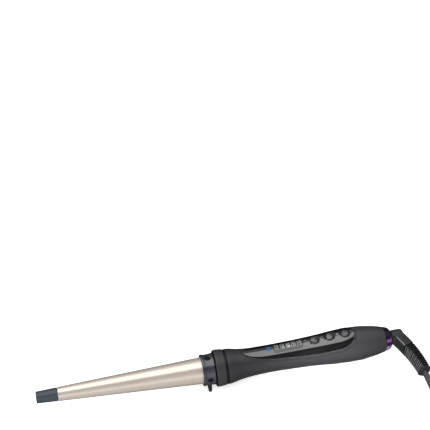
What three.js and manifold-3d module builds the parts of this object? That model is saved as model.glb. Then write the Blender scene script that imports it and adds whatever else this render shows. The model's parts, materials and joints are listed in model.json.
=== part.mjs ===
// Curling wand: tapered hot barrel, handle with a button panel, swivelling cord with its plug.
// Lengths are in millimetres, Z is up.
// The wand lies along X, tip at -X. It is drawn with X = 0 at the front edge of the handle and
// the barrel axis along X. The whole wand is then pitched nose up by REST_PITCH, so that the rest
// feet and the belly of the handle stand on one level surface at GROUND_Z, and everything is moved
// so that the origin lies on the ground under the middle of the bounding box.

import * as THREE from 'three';
import { mergeVertices } from 'three/addons/utils/BufferGeometryUtils.js';
import Module from 'manifold-3d';

const wasm = await Module();
wasm.setup();

// ---------------------------------------------------------------- dimensions

const DEG = Math.PI / 180;

const REST_PITCH = 1.9 * DEG;
const GROUND_Z = -18.38;

const FINE_SIDES = 28;
const SMALL_SIDES = 12;
const BORE_SIDES = 20;
const BUTTON_SIDES = 16;
const TINY_SIDES = 10;
const WIRE_SIDES = 6;

// barrel and cool tip
const TIP_FRONT = -165.7;
const TIP_BACK = -146.1;
const TIP_FRONT_RADIUS = 5.5;
const TIP_BACK_RADIUS = 6.35;
const TIP_CHAMFER = 0.6;
const TIP_SPIGOT_RADIUS = 4.9;
const TIP_SPIGOT_END = -136;
const BARREL_FRONT = -145.8;
const BARREL_FRONT_RADIUS = 6.5;
const BARREL_LIP = 0.5;
const BARREL_TAPER_END = -11.3;
const BARREL_BACK = 3.6;
const BARREL_RADIUS = 12.5;
const BARREL_WALL = 1.2;

// heater inside the barrel
const SHOE_FRONT = -128;
const SHOE_BACK = -30;
const SHOE_CLEARANCE = 0.3;
const SHOE_HALF_GAP = 2.5;
const HEATER_FRONT = -122;
const HEATER_BACK = -32;
const HEATER_HALF_WIDTH = 4.3;
const HEATER_HALF_HEIGHT = 2.2;
const SENSOR_FRONT = -52;
const SENSOR_BACK = -44;
const SENSOR_SIDE = 7.2;
const SENSOR_RADIUS = 1.2;
const FUSE_FRONT = -27;
const FUSE_BACK = -16;
const FUSE_SIDE = 5;
const FUSE_RADIUS = 2;

// bush that carries the barrel
const BUSH_FRONT = -14;
const BUSH_BACK = 13;
const BUSH_RADIUS = 11;
const BUSH_BORE = 6.5;
const BUSH_FLANGE_FRONT = 4;
const BUSH_FLANGE_BACK = 7.9;
const BUSH_FLANGE_RADIUS = 13.1;
const BUSH_TAIL_RADIUS = 10;

// collar, its screws and its feet
const COLLAR_FRONT = -12.2;
const COLLAR_BACK = -0.5;
const COLLAR_BORE = 12.85;
const COLLAR_OUTLINE = [
  [-12.2, 14.3], [-11.7, 14.85], [-10.2, 14.85], [-9.2, 14.3], [-4.5, 14.35], [-1.0, 14.85], [-0.5, 14.6],
];
const SCREW_STATION = -6;
const SCREW_COUNT = 4;
const SCREW_NAMES = ['top', 'left', 'bottom', 'right'];
const SCREW_HEAD_SEAT = 13.45;
const SCREW_HEAD_TOP = 14.1;
const SCREW_HEAD_RADIUS = 2.1;
const SCREW_RECESS_RADIUS = 2.5;
const SCREW_RECESS_FLOOR = 13.35;
const SCREW_SHANK_RADIUS = 1.3;
const SCREW_SHANK_END = 8.2;
const SCREW_HOLE_RADIUS = 1.6;
const SCREW_HOLE_END = 7.9;
const FOOT_SPLAY = 27 * DEG;
const FOOT_ROOT = 13.4;
const FOOT_LENGTH = 14;
const FOOT_ROOT_RADIUS = 2.3;
const FOOT_TIP_RADIUS = 1.1;

// handle: front ring and two shells; outlines are [station, radius]
const RING_OUTLINE = [
  [0, 16.2], [0.5, 17.0], [1.4, 17.4], [5, 17.25], [8.8, 16.9], [9.2, 16.5],
  [11.1, 16.3], [11.1, 14.1], [14, 14.1],
];
const RING_BORE_OUTLINE = [[14, 13.35], [3.8, 13.35], [3.8, 12.85], [0, 12.85]];
const SHELL_OUTLINE = [
  [11.4, 16.2], [11.9, 16.55], [14.5, 16.3], [23.7, 14.5], [34.9, 13.3], [50, 12.75],
  [75, 13.2], [97, 14.3], [118, 15.85], [130, 16.3], [140, 16.1], [151, 14.8], [158, 13.6], [164.6, 12.0],
];
const SHELL_BACK = 164.6;
const SHELL_WALL = 1.9;
const SHELL_PARTING_Z = 0;
const SHELL_PARTING_GAP = 0.2;
const HANDLE_RISE = 2.4;
const RISE_START = 9;
const RISE_END = 150;

// shell screws and their bosses: [name, station, side]
const SHELL_SCREWS = [['front', 20, 0], ['rear_left', 142, 9], ['rear_right', 142, -9]];
const BOSS_RADIUS = 3.3;
const BOSS_BORE = 1.5;
const BOSS_BORE_TOP = 8;
const BOSS_EMBED = 1.1;
const SHELL_SCREW_HEAD_RADIUS = 2.3;
const SHELL_SCREW_HEAD_HEIGHT = 1.8;
const SHELL_SCREW_SHANK_RADIUS = 1.25;
const SHELL_SCREW_TIP_Z = 7;
const SHELL_SCREW_SEAT_Z = -7.5;
const SHELL_SCREW_RECESS_RADIUS = 2.6;

// control panel; half width of the leaf outline by station
const PANEL_OUTLINE = [
  [26, 0], [28, 2.2], [34, 5.6], [46, 8.6], [75, 10.6], [112, 12.5],
  [124, 12.2], [131, 9.6], [135, 5.2], [136.3, 0],
];
const PANEL_PROUD = 0.35;
const PANEL_DEPTH = 1.7;
const PANEL_CLEARANCE = 0.3;
const PANEL_LEDGE = 1.7;
const WINDOW_CENTRE = 70.5;
const WINDOW_LENGTH = 28;
const WINDOW_WIDTH = 11.5;
const WINDOW_CORNER = 2.5;
const LIGHT_STATION = 52.6;
const LIGHT_LENGTH = 4.6;
const LIGHT_WIDTH = 5.6;
const LIGHT_CORNER = 1.5;
const INSERT_CUT_FLOOR = 5;
const INSERT_GAP = 0.25;
const INSERT_DEPTH = 1.3;
const INSERT_PROUD = 0.15;

// buttons: [name, station]
const BUTTONS = [['power', 96], ['temperature_down', 111], ['temperature_up', 126]];
const BUTTON_RADIUS = 3.55;
const BUTTON_HOLE_RADIUS = 3.9;
const BUTTON_DISH_RADIUS = 5.4;
const BUTTON_DISH_DEPTH = 0.6;
const BUTTON_CROWN = 1.5;
const BUTTON_DOME = 1.8;
const BUTTON_FLANGE_RADIUS = 4.5;
const BUTTON_FLANGE_TOP = -2.0;
const BUTTON_FLANGE_BOTTOM = -2.9;
const BUTTON_STEM_RADIUS = 1.6;
const BUTTON_POCKET_RADIUS = 4.9;
const BUTTON_POCKET_TOP = -1.7;
const BUTTON_CUT_BELOW = 6;
const BUTTON_CUT_ABOVE = 3;
// dome of a button: [share of BUTTON_DOME below the crown, share of BUTTON_RADIUS]
const BUTTON_DOME_OUTLINE = [[0.55, 1], [0.15, 0.75], [0, 0.4]];

// control board and what stands on it
const BOARD_FRONT = 47;
const BOARD_BACK = 133;
const BOARD_HALF_WIDTH = 7.2;
const BOARD_BOTTOM = 3.4;
const BOARD_TOP = 5;
const PART_GAP = 0.1;
const SWITCH_HALF = 3;
const SWITCH_HEIGHT = 3.4;
const SWITCH_BORE = 1.75;
const SWITCH_BORE_DEPTH = 1.9;
const PLUNGER_RADIUS = 1.5;
const PLUNGER_BELOW = 0.9;
const PLUNGER_ABOVE = 0.9;
const DISPLAY_MODULE = { along: [56, 83], halfWidth: 5, height: 5.1 };
const MICROCONTROLLER = { along: [85.2, 91.2], halfWidth: 3, height: 1.5 };
const TRIAC = { along: [60, 75], halfWidth: 5, height: 4.5 };
const CAPACITOR = { along: [92, 110], halfWidth: 4.5, height: 10 };
// [height above the board, radius]
const LED_OUTLINE = [[0, 2], [1, 2], [1, 1.5], [3.5, 1.5], [4.3, 0.8]];

// leads: radius, and the route after the point each one starts from
const HEATER_LEAD_RADIUS = 0.85;
const SIGNAL_LEAD_RADIUS = 0.7;
const LEAD_GAP = 0.3;
const LIVE_ROUTE = [[-8, 4, 0.5], [10, 4, 0.5], [20, 6.6, -1.5], [34, 6, -0.5], [49, 5, 2.3]];
const NEUTRAL_ROUTE = [
  [-18, -3.6, 0.2], [10, -4, 0.5], [20, -6.6, -1.5], [34, -6, -0.5], [49, -5, 2.3],
];
const SENSOR_ROUTE = [
  [-32, 6.8, 0.3], [-24, 1.5, 3.4], [-6, 0, 4.2], [10, 1.5, 4.4],
  [20, 5.4, 4.4], [34, 3.5, 4.8], [46.5, 2, 4.2],
];
const SUPPLY_LEAD_SIDE = 4.7;
// [station, height]
const SUPPLY_ROUTE = [[134, -1.5], [129, 2.3]];

// swivel at the rear, on the raised axis of the handle
const HOUSING_FRONT = 152;
const HOUSING_BACK = 164.9;
const HOUSING_BORE = 6.1;
const JOURNAL_RADIUS = 6;
const JOURNAL_BORE = 1.8;
const JOURNAL_NECK_FRONT = 138;
const JOURNAL_NECK_RADIUS = 3.8;
const JOURNAL_FLANGE_FRONT = 149.2;
const JOURNAL_FLANGE_BACK = 151.7;
const JOURNAL_FLANGE_RADIUS = 7.6;
const JOURNAL_SHOULDER = 171.7;
const JOURNAL_SPIGOT_RADIUS = 4.6;
const JOURNAL_BACK = 177;
const SLIP_RINGS = [['live', 140.8], ['neutral', 145.4]];
const SLIP_RING_HALF = 1.2;
const SLIP_RING_BORE = 3.95;
const SLIP_RING_RADIUS = 5.1;
const BRUSH_GAP = 0.2;
const BRUSH_THICKNESS = 0.5;
const BRUSH_HALF_WIDTH = 0.9;
const BRUSH_HALF_SPAN = 3.2;
const BRUSH_HOLDER_HALF_WIDTH = 3.5;
const BRUSH_HOLDER_TOP = -3.75;
const BRUSH_HOLDER_BOTTOM = -10.2;

// purple end ring
const END_RING_OUTLINE = [[165.1, 11.6], [167, 11.3], [169.2, 10.7], [170.6, 9.8], [171.3, 8.7]];
const END_RING_BORE = 6.4;

// cord guard: hub, elbow and ribbed arm in the level plane of the swivel axis
const HUB_FRONT = 172;
const HUB_RADIUS = 7.2;
const HUB_BACK = 180;
const GUARD_START = [178, 0.5];
const GUARD_FIRST_HEADING = 68 * DEG;
const GUARD_LAST_HEADING = 89 * DEG;
const GUARD_LENGTH = 52;
const GUARD_HALF_WIDTH = 5;
const GUARD_HALF_HEIGHT = 6.8;
const GUARD_CORE_RADIUS = 3.8;
const GUARD_CORE_STEPS = 8;
const GUARD_PLAIN_LENGTH = 19.5;
const GUARD_BLOCK_LENGTH = 2.6;
const RIB_COUNT = 13;
const RIB_THICKNESS = 1.0;
// ribs from first to last: half width, half height and how far each is rolled about the centre line
const FIRST_RIB = { halfWidth: 4.9, halfHeight: 6.4, roll: 6 * DEG };
const LAST_RIB = { halfWidth: 4.3, halfHeight: 5.2, roll: 25 * DEG };
const GUARD_SOCKET_DEPTH = 8;
const SOCKET_CLEARANCE = 0.2;

// cord and plug, lying on the ground
const CORD_RADIUS = 2.8;
const CORD_CLEARANCE = 0.3;
const CORD_STEPS = 32;
const CORD_SIDES = 8;
// plan points of the cord, each with its height above the resting cord
const CORD_TURN = [[190, -74, 6.2], [195, -97, 1.6], [211, -116, 0.2], [234, -115, 0.2], [247, -96, 0.8]];
const PLUG_X = 248;
const PLUG_START_Y = -70;
const PLUG_LENGTH = 35;
const PLUG_HALF_WIDTH = 12.5;
const PLUG_NECK_HALF_WIDTH = 5.5;
const PLUG_HALF_HEIGHT = 6.8;
const PLUG_BEVEL = 1.4;
const PLUG_SOCKET_DEPTH = 5;
const PIN_RADIUS = 2;
const PIN_SPACING = 18.6;
const PIN_LENGTH = 19;
const PIN_EMBED = 5.5;
const PIN_CLEARANCE = 0.2;

// ---------------------------------------------------------------- materials

const matte = (colour, roughness) => ({ color: colour, roughness, metalness: 0 });
const metal = (colour, roughness) => ({ color: colour, roughness, metalness: 1 });

const LOOKS = {
  tip: matte(0x464b52, 0.5),
  barrel: metal(0xd9c4b4, 0.35),
  collar: matte(0x5f626a, 0.45),
  handle: matte(0x48484a, 0.6),
  panel: matte(0x101012, 0.08),
  window: matte(0x4e5654, 0.1),
  blueLight: matte(0x6490be, 0.2),
  button: matte(0x5a5a5c, 0.5),
  purple: matte(0x4b2a63, 0.15),
  rubber: matte(0x343638, 0.6),
  steel: metal(0xa8aab0, 0.3),
  brass: metal(0xc9a24a, 0.3),
  aluminium: metal(0xb8babd, 0.4),
  ceramic: matte(0xe9e6dd, 0.6),
  board: matte(0x1f6b3a, 0.5),
  whitePlastic: matte(0xd8d8d4, 0.5),
  blackPlastic: matte(0x1c1c1e, 0.45),
  redWire: matte(0xa32b24, 0.5),
  blueWire: matte(0x2b4f9e, 0.5),
  whiteWire: matte(0xdedcd6, 0.6),
};

// ---------------------------------------------------------------- geometry helpers

/** Welds a geometry, keeping positions only, and turns its faces outward. */
function weld(geometry) {
  const bare = new THREE.BufferGeometry();
  bare.setAttribute('position', geometry.getAttribute('position').clone());
  bare.setIndex(geometry.getIndex());
  const welded = mergeVertices(bare, 1e-4);
  const position = welded.getAttribute('position');
  const index = welded.getIndex().array;
  const corners = [new THREE.Vector3(), new THREE.Vector3(), new THREE.Vector3()];
  const kept = [];
  let volume = 0;
  for (let i = 0; i < index.length; i += 3) {
    const [a, b, c] = [index[i], index[i + 1], index[i + 2]];
    if (a === b || b === c || c === a) continue;
    kept.push(a, b, c);
    corners.forEach((corner, k) => corner.fromBufferAttribute(position, index[i + k]));
    volume += corners[0].dot(corners[1].cross(corners[2]));
  }
  if (volume < 0) kept.reverse();
  welded.setIndex(kept);
  return welded;
}

/** Makes a manifold-3d body from a three.js geometry. */
function toSolid(geometry) {
  const welded = weld(geometry);
  return new wasm.Manifold(new wasm.Mesh({
    numProp: 3,
    vertProperties: new Float32Array(welded.getAttribute('position').array),
    triVerts: new Uint32Array(welded.getIndex().array),
  }));
}

/** Makes a three.js geometry from a manifold-3d body. */
function fromSolid(solid) {
  const mesh = solid.getMesh();
  const geometry = new THREE.BufferGeometry();
  geometry.setAttribute('position', new THREE.BufferAttribute(new Float32Array(mesh.vertProperties), 3));
  geometry.setIndex(new THREE.BufferAttribute(new Uint32Array(mesh.triVerts), 1));
  return geometry;
}

function combine(method, first, others) {
  let solid = toSolid(first);
  for (const other of others) solid = solid[method](toSolid(other));
  return fromSolid(solid);
}

const cut = (body, ...tools) => combine('subtract', body, tools);
const join = (body, ...pieces) => combine('add', body, pieces);
const common = (body, ...pieces) => combine('intersect', body, pieces);

/** Turns a closed [station, radius] outline about the X axis, raised to height z. */
function turned(outline, z = 0, sides = FINE_SIDES) {
  const points = outline.map(([station, radius]) => new THREE.Vector2(radius, station));
  points.push(points[0].clone());
  const geometry = new THREE.LatheGeometry(points, sides);
  geometry.rotateZ(-90 * DEG);
  geometry.translate(0, 0, z);
  return geometry;
}

/** Turns a solid rod: the outline starts and ends on the axis. */
function turnedSolid(outline, z = 0, sides = FINE_SIDES) {
  const first = outline[0][0];
  const last = outline[outline.length - 1][0];
  const points = [[first, 0], ...outline, [last, 0]];
  const geometry = new THREE.LatheGeometry(points.map(([s, r]) => new THREE.Vector2(r, s)), sides);
  geometry.rotateZ(-90 * DEG);
  geometry.translate(0, 0, z);
  return geometry;
}

/** Turns a solid [height, radius] outline about a vertical axis through (x, y). */
function post(outline, x, y, sides = SMALL_SIDES) {
  const first = outline[0][0];
  const last = outline[outline.length - 1][0];
  const points = [[first, 0], ...outline, [last, 0]];
  const geometry = new THREE.LatheGeometry(points.map(([h, r]) => new THREE.Vector2(r, h)), sides);
  geometry.rotateX(90 * DEG);
  geometry.translate(x, y, 0);
  return geometry;
}

/** A vertical cylinder between two heights. */
const cylinder = (radius, bottom, top, x, y, sides) => post([[bottom, radius], [top, radius]], x, y, sides);

/** A box from its limits along each axis. */
function box([x0, x1], [y0, y1], [z0, z1]) {
  const geometry = new THREE.BoxGeometry(x1 - x0, y1 - y0, z1 - z0);
  geometry.translate((x0 + x1) / 2, (y0 + y1) / 2, (z0 + z1) / 2);
  return geometry;
}

/** A flat shape in the level plane, extruded between two heights. */
function slab(shape, bottom, top, curveSegments = 6) {
  const depth = top - bottom;
  const geometry = new THREE.ExtrudeGeometry(shape, { depth, bevelEnabled: false, curveSegments });
  geometry.translate(0, 0, bottom);
  return geometry;
}

/** A round rod along a smooth curve through the given points. */
function rod(points, radius, steps, sides = WIRE_SIDES) {
  const curve = new THREE.CatmullRomCurve3(points.map((p) => new THREE.Vector3(...p)));
  const circle = new THREE.Shape();
  for (let i = 0; i < sides; i += 1) {
    const angle = (i / sides) * 2 * Math.PI;
    const corner = [radius * Math.cos(angle), radius * Math.sin(angle)];
    if (i === 0) circle.moveTo(...corner);
    else circle.lineTo(...corner);
  }
  circle.closePath();
  return new THREE.ExtrudeGeometry(circle, { steps, extrudePath: curve, bevelEnabled: false });
}

// ---------------------------------------------------------------- scene graph

const curlingWand = new THREE.Group();
curlingWand.name = 'curling_wand';
const wand = new THREE.Group();
wand.name = 'wand';
wand.rotation.y = REST_PITCH;
curlingWand.add(wand);
wand.updateMatrixWorld(true);

function addPart(name, look, geometry, parent = wand) {
  const mesh = new THREE.Mesh(weld(geometry), new THREE.MeshStandardMaterial(LOOKS[look]));
  mesh.name = name;
  parent.add(mesh);
}

// ---------------------------------------------------------------- barrel and heater

/** Outer radius of the barrel at a station. */
function barrelRadius(station) {
  const t = (station - BARREL_FRONT) / (BARREL_TAPER_END - BARREL_FRONT);
  return THREE.MathUtils.lerp(BARREL_FRONT_RADIUS, BARREL_RADIUS, Math.min(t, 1));
}

/** Radius inside the barrel wall at a station. */
const boreRadius = (station) => barrelRadius(station) - BARREL_WALL;

/** Moves a vertical piece on to the given angle round the barrel axis, 0 being the top. */
function aroundBarrel(geometry, angle) {
  geometry.rotateX(angle);
  return geometry;
}

addPart('cool_tip_cap', 'tip', turnedSolid([
  [TIP_FRONT, TIP_FRONT_RADIUS - TIP_CHAMFER],
  [TIP_FRONT + TIP_CHAMFER, TIP_FRONT_RADIUS],
  [TIP_BACK - TIP_CHAMFER, TIP_BACK_RADIUS],
  [TIP_BACK, TIP_BACK_RADIUS - TIP_CHAMFER],
  [TIP_BACK, TIP_SPIGOT_RADIUS],
  [TIP_SPIGOT_END, TIP_SPIGOT_RADIUS],
]));

const screwAngles = [];
for (let i = 0; i < SCREW_COUNT; i += 1) screwAngles.push((i * 2 * Math.PI) / SCREW_COUNT);

const screwHoles = screwAngles.map((angle) => aroundBarrel(
  cylinder(SCREW_HOLE_RADIUS, SCREW_HOLE_END, COLLAR_BORE + BARREL_WALL, SCREW_STATION, 0),
  angle,
));

addPart('heated_barrel', 'barrel', cut(turned([
  [BARREL_FRONT, boreRadius(BARREL_FRONT)],
  [BARREL_FRONT, BARREL_FRONT_RADIUS - BARREL_LIP],
  [BARREL_FRONT + BARREL_LIP, BARREL_FRONT_RADIUS],
  [BARREL_TAPER_END, BARREL_RADIUS],
  [BARREL_BACK, BARREL_RADIUS],
  [BARREL_BACK, boreRadius(BARREL_BACK)],
  [BARREL_TAPER_END, boreRadius(BARREL_TAPER_END)],
]), ...screwHoles));

const shoeCone = turnedSolid([
  [SHOE_FRONT, boreRadius(SHOE_FRONT) - SHOE_CLEARANCE],
  [SHOE_BACK, boreRadius(SHOE_BACK) - SHOE_CLEARANCE],
]);
const shoeSpan = [SHOE_FRONT - 1, SHOE_BACK + 1];
const barrelSpan = [-BARREL_RADIUS, BARREL_RADIUS];
const aboveHeater = box(shoeSpan, barrelSpan, [SHOE_HALF_GAP, BARREL_RADIUS]);
const belowHeater = box(shoeSpan, barrelSpan, [-BARREL_RADIUS, -SHOE_HALF_GAP]);
addPart('heater_shoe_upper', 'aluminium', common(shoeCone, aboveHeater));
addPart('heater_shoe_lower', 'aluminium', common(shoeCone, belowHeater));

addPart('ceramic_heater', 'ceramic', box(
  [HEATER_FRONT, HEATER_BACK],
  [-HEATER_HALF_WIDTH, HEATER_HALF_WIDTH],
  [-HEATER_HALF_HEIGHT, HEATER_HALF_HEIGHT],
));

const sensorOutline = [[SENSOR_FRONT, SENSOR_RADIUS], [SENSOR_BACK, SENSOR_RADIUS]];
const sensorRod = turnedSolid(sensorOutline, 0, SMALL_SIDES);
sensorRod.translate(0, SENSOR_SIDE, 0);
addPart('temperature_sensor', 'whitePlastic', sensorRod);

const fuseRod = turnedSolid([[FUSE_FRONT, FUSE_RADIUS], [FUSE_BACK, FUSE_RADIUS]], 0, SMALL_SIDES);
fuseRod.translate(0, FUSE_SIDE, 0);
addPart('thermal_fuse', 'steel', fuseRod);

addPart('barrel_bush', 'ceramic', cut(turned([
  [BUSH_FRONT, BUSH_BORE],
  [BUSH_FRONT, BUSH_RADIUS],
  [BUSH_FLANGE_FRONT, BUSH_RADIUS],
  [BUSH_FLANGE_FRONT, BUSH_FLANGE_RADIUS],
  [BUSH_FLANGE_BACK, BUSH_FLANGE_RADIUS],
  [BUSH_FLANGE_BACK, BUSH_TAIL_RADIUS],
  [BUSH_BACK, BUSH_TAIL_RADIUS],
  [BUSH_BACK, BUSH_BORE],
]), ...screwHoles));

// ---------------------------------------------------------------- collar

/** Everything below the ground, expressed in the pitched frame of the wand. */
function underground() {
  const depth = 20;
  const reach = 40;
  const block = box([-reach, reach], [-reach, reach], [GROUND_Z - depth, GROUND_Z]);
  block.rotateY(-REST_PITCH);
  return block;
}

const collarBody = turned([
  [COLLAR_BACK, COLLAR_BORE],
  [COLLAR_FRONT, COLLAR_BORE],
  ...COLLAR_OUTLINE,
]);
const feet = [-FOOT_SPLAY, FOOT_SPLAY].map((splay) => aroundBarrel(post([
  [FOOT_ROOT, FOOT_ROOT_RADIUS],
  [FOOT_ROOT + FOOT_LENGTH, FOOT_TIP_RADIUS],
], SCREW_STATION, 0), Math.PI + splay));
const screwRecesses = screwAngles.map((angle) => aroundBarrel(
  cylinder(SCREW_RECESS_RADIUS, SCREW_RECESS_FLOOR, SCREW_HEAD_TOP + 2, SCREW_STATION, 0),
  angle,
));
addPart('barrel_collar', 'collar', cut(
  join(collarBody, ...feet),
  ...screwRecesses,
  ...screwHoles,
  underground(),
));

screwAngles.forEach((angle, i) => {
  const screw = post([
    [SCREW_SHANK_END, SCREW_SHANK_RADIUS],
    [SCREW_HEAD_SEAT, SCREW_SHANK_RADIUS],
    [SCREW_HEAD_SEAT, SCREW_HEAD_RADIUS],
    [SCREW_HEAD_TOP, SCREW_HEAD_RADIUS],
  ], SCREW_STATION, 0, TINY_SIDES);
  addPart(`collar_screw_${SCREW_NAMES[i]}`, 'steel', aroundBarrel(screw, angle));
});

// ---------------------------------------------------------------- handle shells

/** Height of the centre line of the handle above the barrel axis. */
function riseAt(station) {
  const t = THREE.MathUtils.clamp((station - RISE_START) / (RISE_END - RISE_START), 0, 1);
  return HANDLE_RISE * Math.sin(t * 90 * DEG);
}

/** Outer radius of the handle at a station. */
function handleRadius(station) {
  const next = Math.max(1, SHELL_OUTLINE.findIndex(([s]) => s >= station));
  const [s0, r0] = SHELL_OUTLINE[next - 1];
  const [s1, r1] = SHELL_OUTLINE[next];
  return THREE.MathUtils.mapLinear(station, s0, s1, r0, r1);
}

/** Height of the top of the handle at a station. */
const crownAt = (station) => riseAt(station) + handleRadius(station);

/** Lifts a turned body so that it follows the bowed centre line of the handle. */
function bowed(geometry) {
  const position = geometry.getAttribute('position');
  for (let i = 0; i < position.count; i += 1) {
    position.setZ(i, position.getZ(i) + riseAt(position.getX(i)));
  }
  return geometry;
}

/** A skin that follows the handle surface between two offsets from it. */
function handleSkin(innerOffset, outerOffset, stations = SHELL_OUTLINE) {
  const outer = stations.map(([s, r]) => [s, r + outerOffset]);
  const inner = stations.map(([s, r]) => [s, r + innerOffset]).reverse();
  return bowed(turned([...outer, ...inner]));
}

addPart('handle_front_ring', 'handle', turned([...RING_OUTLINE, ...RING_BORE_OUTLINE]));

/** The leaf outline of the panel, grown all round by the given amount. */
function leafShape(grow) {
  const middle = (PANEL_OUTLINE[0][0] + PANEL_OUTLINE[PANEL_OUTLINE.length - 1][0]) / 2;
  const side = PANEL_OUTLINE.map(([s, half]) => {
    const along = s + Math.sign(s - middle) * (half === 0 ? grow : grow / 2);
    return new THREE.Vector2(along, half === 0 ? 0 : half + grow);
  });
  const mirrored = side.slice(1, -1).reverse().map((p) => new THREE.Vector2(p.x, -p.y));
  return new THREE.Shape([...side, ...mirrored]);
}

const ABOVE_HANDLE = 26;
const panelPocket = common(
  handleSkin(-PANEL_DEPTH - PANEL_CLEARANCE, 4),
  slab(leafShape(PANEL_CLEARANCE), 0, ABOVE_HANDLE),
);
const panelOpening = slab(leafShape(-PANEL_LEDGE), 3, ABOVE_HANDLE);

/** Boss of one shell screw, from the wall of a shell to the parting plane. */
function boss(station, side, direction) {
  const embedded = handleRadius(station) - BOSS_EMBED;
  const reach = Math.sqrt(embedded ** 2 - (Math.abs(side) + BOSS_RADIUS / 2) ** 2);
  const wall = riseAt(station) + direction * reach;
  const face = SHELL_PARTING_Z + (direction * SHELL_PARTING_GAP) / 2;
  return cylinder(BOSS_RADIUS, Math.min(wall, face), Math.max(wall, face), station, side);
}

function shellHalf(direction) {
  const shell = handleSkin(-SHELL_WALL, 0);
  const face = SHELL_PARTING_Z + (direction * SHELL_PARTING_GAP) / 2;
  const far = direction * ABOVE_HANDLE;
  const half = box(
    [0, SHELL_BACK + 5],
    [-ABOVE_HANDLE, ABOVE_HANDLE],
    [Math.min(face, far), Math.max(face, far)],
  );
  const bosses = SHELL_SCREWS.map(([, station, side]) => boss(station, side, direction));
  return join(common(shell, half), ...bosses);
}

const bossBores = SHELL_SCREWS.map(
  ([, s, y]) => cylinder(BOSS_BORE, SHELL_SCREW_SEAT_Z - 1, BOSS_BORE_TOP, s, y),
);
const bossRecesses = SHELL_SCREWS.map(([, s, y]) => cylinder(
  SHELL_SCREW_RECESS_RADIUS,
  -ABOVE_HANDLE,
  SHELL_SCREW_SEAT_Z - PART_GAP,
  s,
  y,
));
addPart('handle_shell_upper', 'handle', cut(shellHalf(1), panelPocket, panelOpening, ...bossBores));
addPart('handle_shell_lower', 'handle', cut(shellHalf(-1), ...bossBores, ...bossRecesses));

for (const [name, station, side] of SHELL_SCREWS) {
  addPart(`shell_screw_${name}`, 'steel', post([
    [SHELL_SCREW_SEAT_Z - 2 * PART_GAP - SHELL_SCREW_HEAD_HEIGHT, SHELL_SCREW_HEAD_RADIUS],
    [SHELL_SCREW_SEAT_Z - 2 * PART_GAP, SHELL_SCREW_HEAD_RADIUS],
    [SHELL_SCREW_SEAT_Z - 2 * PART_GAP, SHELL_SCREW_SHANK_RADIUS],
    [SHELL_SCREW_TIP_Z, SHELL_SCREW_SHANK_RADIUS],
  ], station, side, TINY_SIDES));
}

// ---------------------------------------------------------------- control panel

/** A rounded rectangle centred on the panel centre line. */
function roundedPatch(centre, length, width, corner) {
  const [x0, x1, y0, y1] = [centre - length / 2, centre + length / 2, -width / 2, width / 2];
  const shape = new THREE.Shape();
  shape.moveTo(x0 + corner, y0);
  shape.lineTo(x1 - corner, y0);
  shape.quadraticCurveTo(x1, y0, x1, y0 + corner);
  shape.lineTo(x1, y1 - corner);
  shape.quadraticCurveTo(x1, y1, x1 - corner, y1);
  shape.lineTo(x0 + corner, y1);
  shape.quadraticCurveTo(x0, y1, x0, y1 - corner);
  shape.lineTo(x0, y0 + corner);
  shape.quadraticCurveTo(x0, y0, x0 + corner, y0);
  return shape;
}

const windowHole = roundedPatch(
  WINDOW_CENTRE,
  WINDOW_LENGTH + 2 * INSERT_GAP,
  WINDOW_WIDTH + 2 * INSERT_GAP,
  WINDOW_CORNER,
);
const lightHole = roundedPatch(
  LIGHT_STATION,
  LIGHT_LENGTH + 2 * INSERT_GAP,
  LIGHT_WIDTH + 2 * INSERT_GAP,
  LIGHT_CORNER,
);

const buttonCuts = [];
for (const [, station] of BUTTONS) {
  const crown = crownAt(station);
  const cutFloor = crown - BUTTON_CUT_BELOW;
  buttonCuts.push(
    cylinder(BUTTON_HOLE_RADIUS, cutFloor, crown + BUTTON_CUT_ABOVE, station, 0, BUTTON_SIDES),
    cylinder(BUTTON_POCKET_RADIUS, cutFloor, crown + BUTTON_POCKET_TOP, station, 0, BUTTON_SIDES),
    post([
      [crown + PANEL_PROUD - BUTTON_DISH_DEPTH, BUTTON_HOLE_RADIUS],
      [crown + PANEL_PROUD, BUTTON_DISH_RADIUS],
      [crown + BUTTON_CUT_ABOVE, BUTTON_DISH_RADIUS],
    ], station, 0, BUTTON_SIDES),
  );
}

const panelBlank = common(handleSkin(-PANEL_DEPTH, PANEL_PROUD), slab(leafShape(0), 0, ABOVE_HANDLE));
addPart('control_panel', 'panel', cut(
  panelBlank,
  slab(windowHole, INSERT_CUT_FLOOR, ABOVE_HANDLE),
  slab(lightHole, INSERT_CUT_FLOOR, ABOVE_HANDLE),
  ...buttonCuts,
));
const windowPatch = roundedPatch(WINDOW_CENTRE, WINDOW_LENGTH, WINDOW_WIDTH, WINDOW_CORNER);
const lightPatch = roundedPatch(LIGHT_STATION, LIGHT_LENGTH, LIGHT_WIDTH, LIGHT_CORNER);
addPart('display_window', 'window', common(
  handleSkin(-INSERT_DEPTH, INSERT_PROUD),
  slab(windowPatch, INSERT_CUT_FLOOR, ABOVE_HANDLE),
));
addPart('power_light_lens', 'blueLight', common(
  handleSkin(-INSERT_DEPTH, INSERT_PROUD),
  slab(lightPatch, INSERT_CUT_FLOOR, ABOVE_HANDLE),
));

// ---------------------------------------------------------------- control board, switches, buttons

addPart('control_board', 'board', box(
  [BOARD_FRONT, BOARD_BACK],
  [-BOARD_HALF_WIDTH, BOARD_HALF_WIDTH],
  [BOARD_BOTTOM, BOARD_TOP],
));
const onBoard = BOARD_TOP + PART_GAP;
const underBoard = BOARD_BOTTOM - PART_GAP;

/** A block that stands on the board, or hangs under it. */
function onBoardBlock({ along, halfWidth, height }, under = false) {
  const heights = under ? [underBoard - height, underBoard] : [onBoard, onBoard + height];
  return box(along, [-halfWidth, halfWidth], heights);
}

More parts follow.
